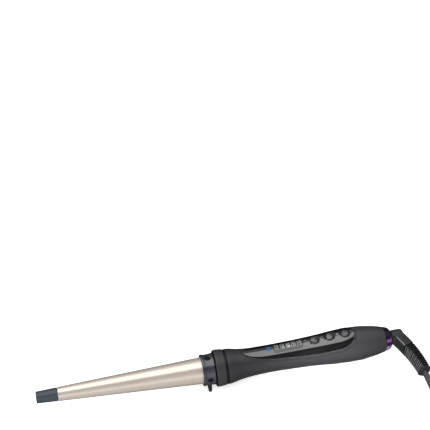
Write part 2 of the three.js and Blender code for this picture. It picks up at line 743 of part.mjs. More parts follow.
addPart('display_module', 'whitePlastic', onBoardBlock(DISPLAY_MODULE));
addPart('power_light_led', 'whitePlastic', post(
  LED_OUTLINE.map(([height, radius]) => [onBoard + height, radius]),
  LIGHT_STATION,
  0,
  TINY_SIDES,
));
addPart('microcontroller', 'blackPlastic', onBoardBlock(MICROCONTROLLER));
addPart('triac', 'blackPlastic', onBoardBlock(TRIAC, true));
addPart('mains_capacitor', 'whitePlastic', onBoardBlock(CAPACITOR, true));

for (const [name, station] of BUTTONS) {
  const switchTop = onBoard + SWITCH_HEIGHT;
  const crown = crownAt(station);
  const body = box(
    [station - SWITCH_HALF, station + SWITCH_HALF],
    [-SWITCH_HALF, SWITCH_HALF],
    [onBoard, switchTop],
  );
  const bore = cylinder(SWITCH_BORE, switchTop - SWITCH_BORE_DEPTH, switchTop + 1, station, 0, TINY_SIDES);
  addPart(`${name}_switch`, 'blackPlastic', cut(body, bore));
  addPart(`${name}_switch_plunger`, 'whitePlastic', cylinder(
    PLUNGER_RADIUS,
    switchTop - PLUNGER_BELOW,
    switchTop + PLUNGER_ABOVE,
    station,
    0,
    TINY_SIDES,
  ));
  addPart(`${name}_button`, 'button', post([
    [switchTop + PLUNGER_ABOVE + PART_GAP, BUTTON_STEM_RADIUS],
    [crown + BUTTON_FLANGE_BOTTOM, BUTTON_STEM_RADIUS],
    [crown + BUTTON_FLANGE_BOTTOM, BUTTON_FLANGE_RADIUS],
    [crown + BUTTON_FLANGE_TOP, BUTTON_FLANGE_RADIUS],
    [crown + BUTTON_FLANGE_TOP, BUTTON_RADIUS],
    ...BUTTON_DOME_OUTLINE.map(([drop, share]) => [
      crown + BUTTON_CROWN - BUTTON_DOME * drop,
      BUTTON_RADIUS * share,
    ]),
  ], station, 0, BUTTON_SIDES));
}

// ---------------------------------------------------------------- swivel

/** Outer outline of a part that fills the inside of the shells, with a clearance. */
const insideShell = (station) => handleRadius(station) - SHELL_WALL - 0.35;

addPart('swivel_housing', 'blackPlastic', turned([
  [HOUSING_FRONT, HOUSING_BORE],
  [HOUSING_FRONT, insideShell(HOUSING_FRONT)],
  [158, insideShell(158)],
  [SHELL_BACK - 1, insideShell(SHELL_BACK - 1)],
  [HOUSING_BACK, insideShell(SHELL_BACK - 1) - 0.4],
  [HOUSING_BACK, HOUSING_BORE],
], HANDLE_RISE));

addPart('swivel_journal', 'blackPlastic', turned([
  [JOURNAL_NECK_FRONT, JOURNAL_BORE],
  [JOURNAL_NECK_FRONT, JOURNAL_NECK_RADIUS],
  [JOURNAL_FLANGE_FRONT, JOURNAL_NECK_RADIUS],
  [JOURNAL_FLANGE_FRONT, JOURNAL_FLANGE_RADIUS],
  [JOURNAL_FLANGE_BACK, JOURNAL_FLANGE_RADIUS],
  [JOURNAL_FLANGE_BACK, JOURNAL_RADIUS],
  [JOURNAL_SHOULDER, JOURNAL_RADIUS],
  [JOURNAL_SHOULDER, JOURNAL_SPIGOT_RADIUS],
  [JOURNAL_BACK, JOURNAL_SPIGOT_RADIUS],
  [JOURNAL_BACK, JOURNAL_BORE],
], HANDLE_RISE, BORE_SIDES));

addPart('brush_holder', 'blackPlastic', box(
  [SLIP_RINGS[0][1] - 2.4, SLIP_RINGS[1][1] + 2.4],
  [-BRUSH_HOLDER_HALF_WIDTH, BRUSH_HOLDER_HALF_WIDTH],
  [BRUSH_HOLDER_BOTTOM, BRUSH_HOLDER_TOP],
));

for (const [name, station] of SLIP_RINGS) {
  addPart(`slip_ring_${name}`, 'brass', turned([
    [station - SLIP_RING_HALF, SLIP_RING_BORE],
    [station - SLIP_RING_HALF, SLIP_RING_RADIUS],
    [station + SLIP_RING_HALF, SLIP_RING_RADIUS],
    [station + SLIP_RING_HALF, SLIP_RING_BORE],
  ], HANDLE_RISE, BORE_SIDES));
  const padTop = HANDLE_RISE - SLIP_RING_RADIUS - BRUSH_GAP;
  addPart(`contact_brush_${name}`, 'brass', box(
    [station - BRUSH_HALF_WIDTH, station + BRUSH_HALF_WIDTH],
    [-BRUSH_HALF_SPAN, BRUSH_HALF_SPAN],
    [padTop - BRUSH_THICKNESS, padTop],
  ));
}

addPart('end_ring', 'purple', turned([
  ...END_RING_OUTLINE,
  [END_RING_OUTLINE[END_RING_OUTLINE.length - 1][0], END_RING_BORE],
  [END_RING_OUTLINE[0][0], END_RING_BORE],
], HANDLE_RISE));

// ---------------------------------------------------------------- leads inside the handle

const liveStart = [FUSE_BACK + LEAD_GAP, FUSE_SIDE, 0];
const neutralStart = [HEATER_BACK + LEAD_GAP, -HEATER_HALF_WIDTH / 2, 0];
const sensorStart = [SENSOR_BACK + LEAD_GAP, SENSOR_SIDE, 0];
addPart('heater_lead_live', 'redWire', rod([liveStart, ...LIVE_ROUTE], HEATER_LEAD_RADIUS, 12));
addPart('heater_lead_neutral', 'blueWire', rod([neutralStart, ...NEUTRAL_ROUTE], HEATER_LEAD_RADIUS, 14));
addPart('sensor_lead', 'whiteWire', rod([sensorStart, ...SENSOR_ROUTE], SIGNAL_LEAD_RADIUS, 18));

/** One supply lead, from its contact brush along a side of the handle to the board. */
function supplyLead(brushStation, side) {
  const brushMiddle = HANDLE_RISE - SLIP_RING_RADIUS - BRUSH_GAP - BRUSH_THICKNESS;
  return rod([
    [brushStation, side * (BRUSH_HALF_SPAN + SIGNAL_LEAD_RADIUS), brushMiddle],
    [brushStation - 1.5, side * SUPPLY_LEAD_SIDE, brushMiddle - LEAD_GAP],
    ...SUPPLY_ROUTE.map(([station, height]) => [station, side * SUPPLY_LEAD_SIDE, height]),
  ], SIGNAL_LEAD_RADIUS, 7);
}
addPart('supply_lead_live', 'redWire', supplyLead(SLIP_RINGS[0][1], 1));
addPart('supply_lead_neutral', 'blueWire', supplyLead(SLIP_RINGS[1][1], -1));

// ---------------------------------------------------------------- cord guard

/** Point and heading of the guard centre line, in plan, at a distance from the elbow. */
function guardFrame(distance) {
  const steps = 24;
  let [x, y] = GUARD_START;
  for (let i = 0; i < steps; i += 1) {
    const t = ((i + 0.5) / steps) * (distance / GUARD_LENGTH);
    const heading = THREE.MathUtils.lerp(GUARD_FIRST_HEADING, GUARD_LAST_HEADING, t);
    x += (Math.cos(heading) * distance) / steps;
    y -= (Math.sin(heading) * distance) / steps;
  }
  const heading = THREE.MathUtils.lerp(GUARD_FIRST_HEADING, GUARD_LAST_HEADING, distance / GUARD_LENGTH);
  return { x, y, heading };
}

/** A block of guard set across its centre line, rolled about it and tapering from rib to rib. */
function guardRib(distance, thickness) {
  const { x, y, heading } = guardFrame(distance);
  const t = (distance - GUARD_PLAIN_LENGTH) / (GUARD_LENGTH - GUARD_PLAIN_LENGTH);
  const between = (key) => THREE.MathUtils.lerp(FIRST_RIB[key], LAST_RIB[key], t);
  const rib = new THREE.BoxGeometry(thickness, 2 * between('halfWidth'), 2 * between('halfHeight'));
  rib.rotateX(-between('roll'));
  rib.rotateZ(-heading);
  rib.translate(x, y, HANDLE_RISE);
  return rib;
}

/** The plain leg of the guard, following the curve of the centre line. */
function guardLeg(steps = 4) {
  const left = [];
  const right = [];
  for (let i = 0; i <= steps; i += 1) {
    const { x, y, heading } = guardFrame((GUARD_PLAIN_LENGTH * i) / steps);
    const across = [Math.sin(heading) * GUARD_HALF_WIDTH, Math.cos(heading) * GUARD_HALF_WIDTH];
    left.push(new THREE.Vector2(x + across[0], y + across[1]));
    right.push(new THREE.Vector2(x - across[0], y - across[1]));
  }
  const outline = new THREE.Shape([...left, ...right.reverse()]);
  return slab(outline, HANDLE_RISE - GUARD_HALF_HEIGHT, HANDLE_RISE + GUARD_HALF_HEIGHT);
}

/** The round core that carries the ribs, from inside the plain leg to inside the end block. */
function guardCore() {
  const points = [];
  for (let i = 0; i <= GUARD_CORE_STEPS; i += 1) {
    const distance = THREE.MathUtils.lerp(GUARD_PLAIN_LENGTH - 1, GUARD_LENGTH - 1, i / GUARD_CORE_STEPS);
    const { x, y } = guardFrame(distance);
    points.push([x, y, HANDLE_RISE]);
  }
  return rod(points, GUARD_CORE_RADIUS, GUARD_CORE_STEPS, BORE_SIDES);
}

const ribs = [];
const ribbedLength = GUARD_LENGTH - GUARD_PLAIN_LENGTH - GUARD_BLOCK_LENGTH;
for (let i = 0; i < RIB_COUNT; i += 1) {
  const distance = GUARD_PLAIN_LENGTH + ((i + 0.7) / RIB_COUNT) * ribbedLength;
  ribs.push(guardRib(distance, RIB_THICKNESS));
}
const endBlock = guardRib(GUARD_LENGTH - GUARD_BLOCK_LENGTH / 2, GUARD_BLOCK_LENGTH);
const hub = turnedSolid([[HUB_FRONT, HUB_RADIUS], [HUB_BACK, HUB_RADIUS]], HANDLE_RISE, BORE_SIDES);
const hubSocket = turnedSolid(
  [
    [HUB_FRONT - 1, JOURNAL_SPIGOT_RADIUS + SOCKET_CLEARANCE],
    [JOURNAL_BACK + SOCKET_CLEARANCE, JOURNAL_SPIGOT_RADIUS + SOCKET_CLEARANCE],
  ],
  HANDLE_RISE,
  BORE_SIDES,
);
const insideHandle = box([HUB_FRONT - 10, HUB_FRONT], [-20, 20], [-20, 20]);
const cordSocket = cylinder(CORD_RADIUS + CORD_CLEARANCE, 0, GUARD_SOCKET_DEPTH + 2, 0, 0, CORD_SIDES);
const guardEnd = guardFrame(GUARD_LENGTH);
cordSocket.rotateY(-90 * DEG);
cordSocket.translate(2, 0, 0);
cordSocket.rotateZ(-GUARD_LAST_HEADING);
cordSocket.translate(guardEnd.x, guardEnd.y, HANDLE_RISE);

addPart('cord_guard', 'rubber', cut(
  join(hub, guardLeg(), guardCore(), ...ribs, endBlock),
  hubSocket,
  cordSocket,
  insideHandle,
));

// ---------------------------------------------------------------- cord and plug on the ground

/** A point on the straight axis of the cord socket, beyond the mouth of the guard by the given distance. */
function cordAxisPoint(beyond, droop) {
  return wand.localToWorld(new THREE.Vector3(
    guardEnd.x + beyond * Math.cos(GUARD_LAST_HEADING),
    guardEnd.y - beyond * Math.sin(GUARD_LAST_HEADING),
    HANDLE_RISE - droop,
  )).toArray();
}

const cordRestZ = GROUND_Z + CORD_RADIUS + 0.1;
const plugZ = GROUND_Z + PLUG_HALF_HEIGHT + 0.1;
addPart('power_cord', 'rubber', rod([
  cordAxisPoint(0.5 - GUARD_SOCKET_DEPTH, 0),
  cordAxisPoint(0, 0),
  cordAxisPoint(6, 0.4),
  ...CORD_TURN.map(([x, y, lift]) => [x, y, cordRestZ + lift]),
  [PLUG_X, PLUG_START_Y, plugZ],
  [PLUG_X, PLUG_START_Y + PLUG_SOCKET_DEPTH - 0.5, plugZ],
], CORD_RADIUS, CORD_STEPS, CORD_SIDES), curlingWand);

const plugSide = [
  [0, PLUG_NECK_HALF_WIDTH],
  [10, PLUG_NECK_HALF_WIDTH + 1.5],
  [20, PLUG_HALF_WIDTH],
  [PLUG_LENGTH, PLUG_HALF_WIDTH],
].map(([y, half]) => new THREE.Vector2(half - PLUG_BEVEL, y + PLUG_BEVEL * (y === 0 ? 1 : -1)));
const plugOtherSide = plugSide.map((p) => new THREE.Vector2(-p.x, p.y)).reverse();
const plugShape = new THREE.Shape([...plugSide, ...plugOtherSide]);
const plugBlank = new THREE.ExtrudeGeometry(plugShape, {
  depth: 2 * (PLUG_HALF_HEIGHT - PLUG_BEVEL),
  bevelThickness: PLUG_BEVEL,
  bevelSize: PLUG_BEVEL,
  bevelSegments: 2,
});
plugBlank.translate(PLUG_X, PLUG_START_Y, plugZ - PLUG_HALF_HEIGHT + PLUG_BEVEL);

/** A rod along +Y, at the height of the plug. */
function plugRod(radius, x, start, end, sides = SMALL_SIDES) {
  const geometry = post([[start, radius], [end, radius]], 0, 0, sides);
  geometry.rotateX(-90 * DEG);
  geometry.translate(x, 0, plugZ);
  return geometry;
}

const plugFace = PLUG_START_Y + PLUG_LENGTH;
const pinSides = [['left', -PIN_SPACING / 2], ['right', PIN_SPACING / 2]];
const plugSocketEnd = PLUG_START_Y + PLUG_SOCKET_DEPTH;
const pinSocketStart = plugFace - PIN_EMBED - PIN_CLEARANCE;
addPart('plug_body', 'rubber', cut(
  plugBlank,
  plugRod(CORD_RADIUS + CORD_CLEARANCE, PLUG_X, PLUG_START_Y - 2, plugSocketEnd, CORD_SIDES),
  ...pinSides.map(([, x]) => plugRod(PIN_RADIUS + PIN_CLEARANCE, PLUG_X + x, pinSocketStart, plugFace + 2)),
), curlingWand);
for (const [name, x] of pinSides) {
  addPart(
    `plug_pin_${name}`,
    'brass',
    plugRod(PIN_RADIUS, PLUG_X + x, plugFace - PIN_EMBED, plugFace + PIN_LENGTH),
    curlingWand,
  );
}

// ---------------------------------------------------------------- origin

const bounds = new THREE.Box3().setFromObject(curlingWand, true);
const middle = bounds.getCenter(new THREE.Vector3());
curlingWand.position.set(-middle.x, -middle.y, -bounds.min.z);

export default curlingWand;
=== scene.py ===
"""Curling wand: fine meshes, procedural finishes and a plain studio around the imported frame.

Lengths in the shape functions are millimetres in the wand's own frame: X runs back along the barrel
axis from the front edge of the handle, Z is up across the handle, Y completes it. place_wand()
turns that frame into the row frame, from the swivel joint in the record. The cord and the plug lie
on the ground, so they use place_ground(), which only shifts.
"""

import json
import math

import bmesh
import bpy
import numpy as np
from mathutils import Matrix, Vector


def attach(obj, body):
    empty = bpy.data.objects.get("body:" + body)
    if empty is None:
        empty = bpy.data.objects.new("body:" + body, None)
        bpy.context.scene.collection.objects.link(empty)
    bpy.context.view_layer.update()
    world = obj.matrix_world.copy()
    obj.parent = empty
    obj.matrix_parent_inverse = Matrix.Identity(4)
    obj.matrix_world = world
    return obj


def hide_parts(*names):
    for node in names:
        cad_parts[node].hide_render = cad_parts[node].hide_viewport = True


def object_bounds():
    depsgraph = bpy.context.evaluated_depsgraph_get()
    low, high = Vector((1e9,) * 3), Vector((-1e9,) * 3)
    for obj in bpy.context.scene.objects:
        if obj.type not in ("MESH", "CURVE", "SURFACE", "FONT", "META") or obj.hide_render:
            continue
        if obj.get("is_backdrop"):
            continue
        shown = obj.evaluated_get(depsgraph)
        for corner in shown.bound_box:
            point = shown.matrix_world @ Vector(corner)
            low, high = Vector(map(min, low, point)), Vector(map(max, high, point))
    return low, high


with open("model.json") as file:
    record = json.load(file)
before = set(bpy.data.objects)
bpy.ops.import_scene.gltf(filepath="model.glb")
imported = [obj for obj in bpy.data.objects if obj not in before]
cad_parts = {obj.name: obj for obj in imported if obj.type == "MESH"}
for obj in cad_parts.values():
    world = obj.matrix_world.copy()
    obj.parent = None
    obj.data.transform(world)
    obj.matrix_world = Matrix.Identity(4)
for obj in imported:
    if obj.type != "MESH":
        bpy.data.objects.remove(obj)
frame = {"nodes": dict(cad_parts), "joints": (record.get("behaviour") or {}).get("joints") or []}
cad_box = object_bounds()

MM = 0.001
DEG = math.pi / 180

# ---------------------------------------------------------------- the wand's frame in the row frame

SWIVEL_STATION = 168.0
HANDLE_RISE = 2.4

swivel = next(j for j in frame["joints"] if j["name"] == "cord_swivel")
AXIS_X = -Vector(swivel["axis"]).normalized()
AXIS_Y = Vector((0, 1, 0))
AXIS_Z = AXIS_X.cross(AXIS_Y).normalized()
WAND_TURN = np.array([AXIS_X, AXIS_Y, AXIS_Z], float).T
WAND_ORIGIN = (
    np.array(swivel["pos_m"], float)
    - SWIVEL_STATION * MM * np.array(AXIS_X)
    - HANDLE_RISE * MM * np.array(AXIS_Z)
)


def place_wand(points):
    """Points in wand millimetres to row metres."""
    return np.asarray(points, float) @ WAND_TURN.T * MM + WAND_ORIGIN


def place_ground(points):
    """Points in level millimetres, from the wand's origin, to row metres."""
    return np.asarray(points, float) * MM + WAND_ORIGIN


GROUND_Z = -WAND_ORIGIN[2] / MM

# ---------------------------------------------------------------- dimensions of the visible parts

TIP_FRONT, TIP_BACK = -165.7, -146.1
TIP_FRONT_RADIUS, TIP_BACK_RADIUS = 5.5, 6.35
TIP_SPIGOT_RADIUS, TIP_SPIGOT_END = 4.9, -136.0
BARREL_FRONT, BARREL_FRONT_RADIUS = -145.8, 6.5
BARREL_TAPER_END, BARREL_RADIUS = -11.3, 12.5
BARREL_HIDDEN, BARREL_BACK = -1.2, 3.6
BARREL_WALL = 1.2
LIP_LENGTH = 1.5

COLLAR_BORE = 12.85
COLLAR_OUTLINE = [
    (-12.2, 14.3), (-11.7, 14.85), (-10.2, 14.85), (-9.2, 14.3), (-4.5, 14.35), (-1.0, 14.85),
    (-0.5, 14.6),
]
COLLAR_REAR_FACE = -0.9
SCREW_STATION = -6.0
SCREWS = [("top", 0), ("left", 90), ("bottom", 180), ("right", 270)]
SCREW_HEAD_SEAT, SCREW_HEAD_TOP, SCREW_HEAD_RADIUS = 13.45, 14.1, 2.1
SCREW_RECESS_RADIUS, SCREW_RECESS_FLOOR, SCREW_RECESS_MOUTH = 2.5, 13.4, 14.25
SCREW_SHANK_RADIUS, SCREW_SHANK_END = 1.3, 8.2
SCREW_HOLE_RADIUS, SCREW_HOLE_END = 1.6, 7.9
FOOT_SPLAY = 27
FOOT_START = 15.1
FOOT_ROOT, FOOT_LENGTH = 13.4, 14.0
FOOT_ROOT_RADIUS, FOOT_TIP_RADIUS = 2.3, 1.1

RING_OUTLINE = [
    (0, 16.2), (0.5, 17.0), (1.4, 17.4), (5, 17.25), (8.8, 16.9), (9.2, 16.5), (11.1, 16.3),
    (11.1, 14.1), (14, 14.1), (14, 13.35), (3.8, 13.35), (3.8, 12.85), (0, 12.85),
]
RING_FRONT_FACE, BAND_START = 0.3, 9.05
SHELL_OUTLINE = [
    (11.4, 16.2), (11.9, 16.55), (14.5, 16.3), (23.7, 14.5), (34.9, 13.3), (50, 12.75), (75, 13.2),
    (97, 14.3), (118, 15.85), (130, 16.3), (140, 16.1), (151, 14.8), (158, 13.6), (164.6, 12.0),
]
SHELL_WALL = 1.9
PARTING_GAP = 0.45
RISE_START, RISE_END = 9.0, 150.0
SHELL_SCREWS = [("front", 20, 0), ("rear_left", 142, 9), ("rear_right", 142, -9)]
SHELL_RECESS_RADIUS = 2.6
SHELL_SCREW_TOP = -7.7
SHELL_SCREW_HEAD_HEIGHT = 1.8
SHELL_SCREW_HEAD_RADIUS = 2.3
SHELL_SCREW_SHANK_RADIUS = 1.25
SHELL_SCREW_TIP_Z = 7.0
BOSS_RADIUS, BOSS_BORE, BOSS_BORE_TOP = 3.3, 1.5, 8.0

PANEL_OUTLINE = [
    (26, 0), (27.5, 2.8), (32, 6.0), (38, 7.9), (46, 9.3), (75, 11.6), (112, 13.6), (124, 13.1),
    (131, 10.2), (135, 5.5), (136.3, 0),
]
PANEL_PROUD, PANEL_DEPTH = 0.35, 1.0
PANEL_GAP = 0.22
PANEL_EDGE = 0.3
RIM_WIDTH, RIM_GROOVE = 0.55, 0.12
SHOULDER_WIDTHS = [(26, 0.5), (46, 1.5), (75, 2.7), (112, 4.3), (136.3, 4.4)]
SHOULDER_SHARE, SHOULDER_FALL, SHOULDER_DROP = 0.34, 0.97, 0.8
WINDOW_CENTRE, WINDOW_LENGTH, WINDOW_WIDTH, WINDOW_CORNER = 70.5, 28.0, 11.5, 2.5
LIGHT_STATION, LIGHT_LENGTH, LIGHT_WIDTH, LIGHT_CORNER = 52.6, 4.6, 5.6, 1.4
INSERT_GAP, INSERT_DEPTH, INSERT_PROUD, PAD_EDGE = 0.1, 1.3, 0.33, 0.08
BUTTONS = [("power", 96.0), ("temperature_down", 111.0), ("temperature_up", 126.0)]
BUTTON_RADIUS, BUTTON_HOLE_RADIUS = 3.55, 3.9
BUTTON_DISH_RADIUS, BUTTON_DISH_DEPTH = 5.4, 0.6
BUTTON_CROWN = 1.5
BUTTON_DOME = 1.7
BUTTON_STEM_BOTTOM = 9.4
BUTTON_STEM_RADIUS, BUTTON_FLANGE_RADIUS = 1.6, 4.5
BUTTON_FLANGE_TOP, BUTTON_FLANGE_BOTTOM = -2.0, -2.9
BUTTON_POCKET_RADIUS, BUTTON_POCKET_TOP = 4.9, -1.7

END_RING_OUTLINE = [
    (165.1, 11.6), (167, 11.3), (169.2, 10.7), (170.6, 9.8), (171.3, 8.7), (171.3, 6.4),
    (165.1, 6.4),
]
JOURNAL_OUTLINE = [
    (138, 1.8), (138, 3.8), (149.2, 3.8), (149.2, 7.6), (151.7, 7.6), (151.7, 6.0), (171.7, 6.0),
    (171.7, 4.6), (177, 4.6), (177, 1.8),
]

HUB_FRONT, HUB_BACK, HUB_RADIUS, HUB_ROUNDING = 172.0, 184.6, 7.2, 3.0
HUB_SOCKET_RADIUS, HUB_SOCKET_END = 4.75, 177.2
GUARD_START = (178.0, 0.5)
GUARD_HEADINGS = (68.0, 89.0)
GUARD_LENGTH = 52.0
GUARD_HALF_WIDTH, GUARD_HALF_HEIGHT = 5.0, 6.8
GUARD_ROUNDING = 2.6
GUARD_PLAIN, GUARD_BLOCK = 19.5, 2.6
GUARD_CORE_RADIUS = 3.8
GUARD_SOCKET_DEPTH = 8.0
RIB_COUNT, RIB_THICKNESS = 13, 1.0
LEG_CORNER, RIB_CORNER = 1.15, 0.7
FIRST_RIB = (4.9, 6.4, 6.0)
LAST_RIB = (4.3, 5.2, 25.0)

CORD_RADIUS, CORD_HOLE_RADIUS = 2.8, 3.0
CORD_REST_Z = GROUND_Z + CORD_RADIUS + 0.1
CORD_TURN = [
    (190, -74, 6.2), (195, -97, 1.6), (211, -116, 0.2), (234, -115, 0.2), (247, -96, 0.8),
]
PLUG_X, PLUG_START_Y, PLUG_LENGTH = 248.0, -70.0, 35.0
PLUG_HALF_WIDTH, PLUG_NECK_HALF_WIDTH, PLUG_HALF_HEIGHT = 12.5, 5.5, 6.8
PLUG_Z = GROUND_Z + PLUG_HALF_HEIGHT + 0.1
# Half width and half height of the plug, by distance from the cord.
PLUG_SIDES = [
    [(0, PLUG_NECK_HALF_WIDTH), (10, 6.4), (20, 11.4), (26, PLUG_HALF_WIDTH), (PLUG_LENGTH, 12.3)],
    [(0, 5.0), (10, 5.7), (20, 6.6), (26, PLUG_HALF_HEIGHT), (PLUG_LENGTH, 6.7)],
]
PLUG_GROOVE = 0.45
PIN_RADIUS, PIN_SPACING, PIN_LENGTH, PIN_EMBED, PIN_SLEEVE = 2.0, 18.6, 19.0, 5.5, 10.0

# ---------------------------------------------------------------- curves


def pchip(table, at):
    """Monotone smooth curve through (x, y) pairs, read at the given x."""
    x, y = np.array(table, float).T
    h = np.diff(x)
    slope = np.diff(y) / h
    m = np.zeros(len(x))
    m[0], m[-1] = slope[0], slope[-1]
    for i in range(1, len(x) - 1):
        if slope[i - 1] * slope[i] > 0:
            w0, w1 = 2 * h[i] + h[i - 1], h[i] + 2 * h[i - 1]
            m[i] = (w0 + w1) / (w0 / slope[i - 1] + w1 / slope[i])
    at = np.clip(np.asarray(at, float), x[0], x[-1])
    k = np.clip(np.searchsorted(x, at) - 1, 0, len(h) - 1)
    t = (at - x[k]) / h[k]
    return (
        (1 + 2 * t) * (1 - t) ** 2 * y[k]
        + t * (1 - t) ** 2 * h[k] * m[k]
        + t * t * (3 - 2 * t) * y[k + 1]
        + t * t * (t - 1) * h[k] * m[k + 1]
    )


def spline(points, per_span=12, first=None, last=None):
    """Centripetal Catmull-Rom curve through the points, ends given or mirrored."""
    p = [np.array(q, float) for q in points]
    first = 2 * p[0] - p[1] if first is None else np.array(first, float)
    last = 2 * p[-1] - p[-2] if last is None else np.array(last, float)
    p = [first] + p + [last]
    out = []
    for i in range(1, len(p) - 2):
        knots = [0.0]
        for a, b in zip(p[i - 1 : i + 2], p[i : i + 3]):
            knots.append(knots[-1] + max(np.linalg.norm(b - a), 1e-6) ** 0.5)
        t0, t1, t2, t3 = knots
        for t in np.linspace(t1, t2, per_span, endpoint=False):
            a1 = (t1 - t) / (t1 - t0) * p[i - 1] + (t - t0) / (t1 - t0) * p[i]
            a2 = (t2 - t) / (t2 - t1) * p[i] + (t - t1) / (t2 - t1) * p[i + 1]
            a3 = (t3 - t) / (t3 - t2) * p[i + 1] + (t - t2) / (t3 - t2) * p[i + 2]
            b1 = (t2 - t) / (t2 - t0) * a1 + (t - t0) / (t2 - t0) * a2
            b2 = (t3 - t) / (t3 - t1) * a2 + (t - t1) / (t3 - t1) * a3
            out.append((t2 - t) / (t2 - t1) * b1 + (t - t1) / (t2 - t1) * b2)
    out.append(p[-2])
    return np.array(out)


def eased(outline, radius, closed=False, steps=5):
    """The outline with its corners rounded by the given radius."""
    pts = [np.array(q, float) for q in outline]
    count = len(pts)
    out = []
    for i, p in enumerate(pts):
        if not closed and i in (0, count - 1):
            out.append(p)
            continue
        a, b = pts[i - 1], pts[(i + 1) % count]
        la, lb = np.linalg.norm(a - p), np.linalg.norm(b - p)
        reach = min(radius, 0.45 * la, 0.45 * lb)
        start, end = p + (a - p) / la * reach, p + (b - p) / lb * reach
        for t in np.linspace(0, 1, steps):
            out.append((1 - t) ** 2 * start + 2 * t * (1 - t) * p + t * t * end)
    return out


# ---------------------------------------------------------------- shapes as (vertices, faces)


def revolve(outline, sides=96):
    """Turns (height, radius) pairs about Z. An outline that leaves the axis closes on itself."""
    solid = outline[0][1] < 1e-6 and outline[-1][1] < 1e-6
    angles = np.linspace(0, 2 * math.pi, sides, endpoint=False)
    verts, rows = [], []
    for height, radius in outline:
        start = len(verts)
        if radius < 1e-6:
            verts.append((0, 0, height))
            rows.append([start] * sides)
        else:
            verts += [(radius * math.cos(a), radius * math.sin(a), height) for a in angles]
            rows.append(list(range(start, start + sides)))
    pairs = list(zip(rows, rows[1:]))
    if not solid:
        pairs.append((rows[-1], rows[0]))
    faces = []
    for low, high in pairs:
        for j in range(sides):
            k = (j + 1) % sides
            quad = [low[j], low[k], high[k], high[j]]
            corners = list(dict.fromkeys(quad))
            if len(corners) > 2:
                faces.append(corners)
    return np.array(verts, float), faces


def rod(low, high, radius):
    """Outline of a plain cylinder between two heights."""
    return [(low, 0), (low, radius), (high, radius), (high, 0)]


def along_x(shape, height=0.0):
    """A shape turned about Z laid along X, at the given height."""
    v, f = shape
    return np.column_stack([v[:, 2], v[:, 0], v[:, 1] + height]), f


def moved(shape, x=0.0, y=0.0, z=0.0):
    v, f = shape
    return v + np.array([x, y, z]), f


def vertical(outline, x, y, sides=48):
    """An outline turned about an upright line through a plan point."""
    return moved(revolve(outline, sides), x=x, y=y)


def rounded(half_u, half_v, corner, steps):
    """Loop of (u, v) pairs round a rectangle with rounded corners."""
    loop = []
    for quarter, (su, sv) in enumerate([(1, 1), (-1, 1), (-1, -1), (1, -1)]):
        u, v = su * (half_u - corner), sv * (half_v - corner)
        for a in np.linspace(0, math.pi / 2, steps) + quarter * math.pi / 2:
            loop.append((u + corner * math.cos(a), v + corner * math.sin(a)))
    return np.array(loop)


def around(shape, degrees):
    """A piece on top of the barrel moved round it, towards -Y first."""
    v, f = shape
    c, s = math.cos(degrees * DEG), math.sin(degrees * DEG)
    return np.column_stack([v[:, 0], v[:, 1] * c - v[:, 2] * s, v[:, 1] * s + v[:, 2] * c]), f


def loft(loops, closed=False):
    """Skins a list of equal closed loops, with flat ends unless the loops meet up."""
    count = len(loops[0])
    verts = np.concatenate([np.asarray(loop, float) for loop in loops])
    faces = []
    pairs = [(i, i + 1) for i in range(len(loops) - 1)]
    if closed:
        pairs.append((len(loops) - 1, 0))
    for a, b in pairs:
        for j in range(count):
            k = (j + 1) % count
            faces.append([a * count + j, a * count + k, b * count + k, b * count + j])
    if not closed:
        faces.append(list(range(count))[::-1])
        faces.append([(len(loops) - 1) * count + j for j in range(count)])
    return verts, faces


def block(x, y, z):
    """A box between limits, used only as a cutting tool."""
    verts = np.array([(a, b, c) for a in x for b in y for c in z], float)
    faces = [[0, 1, 3, 2], [4, 6, 7, 5], [0, 4, 5, 1], [2, 3, 7, 6], [0, 2, 6, 4], [1, 5, 7, 3]]
    return verts, faces


def merged(*shapes):
    """Several shapes as one list of vertices and faces."""
    verts, faces, base = [], [], 0
    for v, f in shapes:
        verts.append(v)
        faces += [[i + base for i in face] for face in f]
        base += len(v)
    return np.concatenate(verts), faces


def points_of(mesh):
    co = np.zeros(len(mesh.vertices) * 3)
    mesh.vertices.foreach_get("co", co)
    return co.reshape(-1, 3)


def set_points(mesh, points):
    mesh.vertices.foreach_set("co", np.asarray(points, float).ravel())
    return mesh


def as_mesh(shape):
    verts, faces = shape
    mesh = bpy.data.meshes.new("shape")
    mesh.from_pydata([tuple(v) for v in verts], [], [tuple(f) for f in faces])
    bm = bmesh.new()
    bm.from_mesh(mesh)
    bmesh.ops.recalc_face_normals(bm, faces=bm.faces)
    bm.to_mesh(mesh)
    bm.free()
    return mesh


def carved(body, *steps):
    """The mesh of a shape after (operation, shape) steps, such as ("DIFFERENCE", tool)."""
    holder = bpy.data.objects.new("carving", as_mesh(body))
    bpy.context.scene.collection.objects.link(holder)
    temporary = [holder]
    for operation, shape in steps:
        tool = bpy.data.objects.new("carving_tool", as_mesh(shape))
        bpy.context.scene.collection.objects.link(tool)
        temporary.append(tool)
        boolean = holder.modifiers.new(operation.lower(), "BOOLEAN")
        boolean.operation = operation
        boolean.solver = "EXACT"
        boolean.object = tool
    bpy.context.view_layer.update()
    graph = bpy.context.evaluated_depsgraph_get()
    result = bpy.data.meshes.new_from_object(holder.evaluated_get(graph))
    for obj in temporary:
        bpy.data.objects.remove(obj)
    return result


def difference(body, tools):
    return carved(body, *[("DIFFERENCE", tool) for tool in tools])


# ---------------------------------------------------------------- the handle's surface


def rise_at(station):
    t = np.clip((np.asarray(station, float) - RISE_START) / (RISE_END - RISE_START), 0, 1)
    return HANDLE_RISE * np.sin(t * math.pi / 2)


def handle_radius(station):
    return pchip(SHELL_OUTLINE, station)


def crown_at(station):
    return float(rise_at(station) + handle_radius(station))


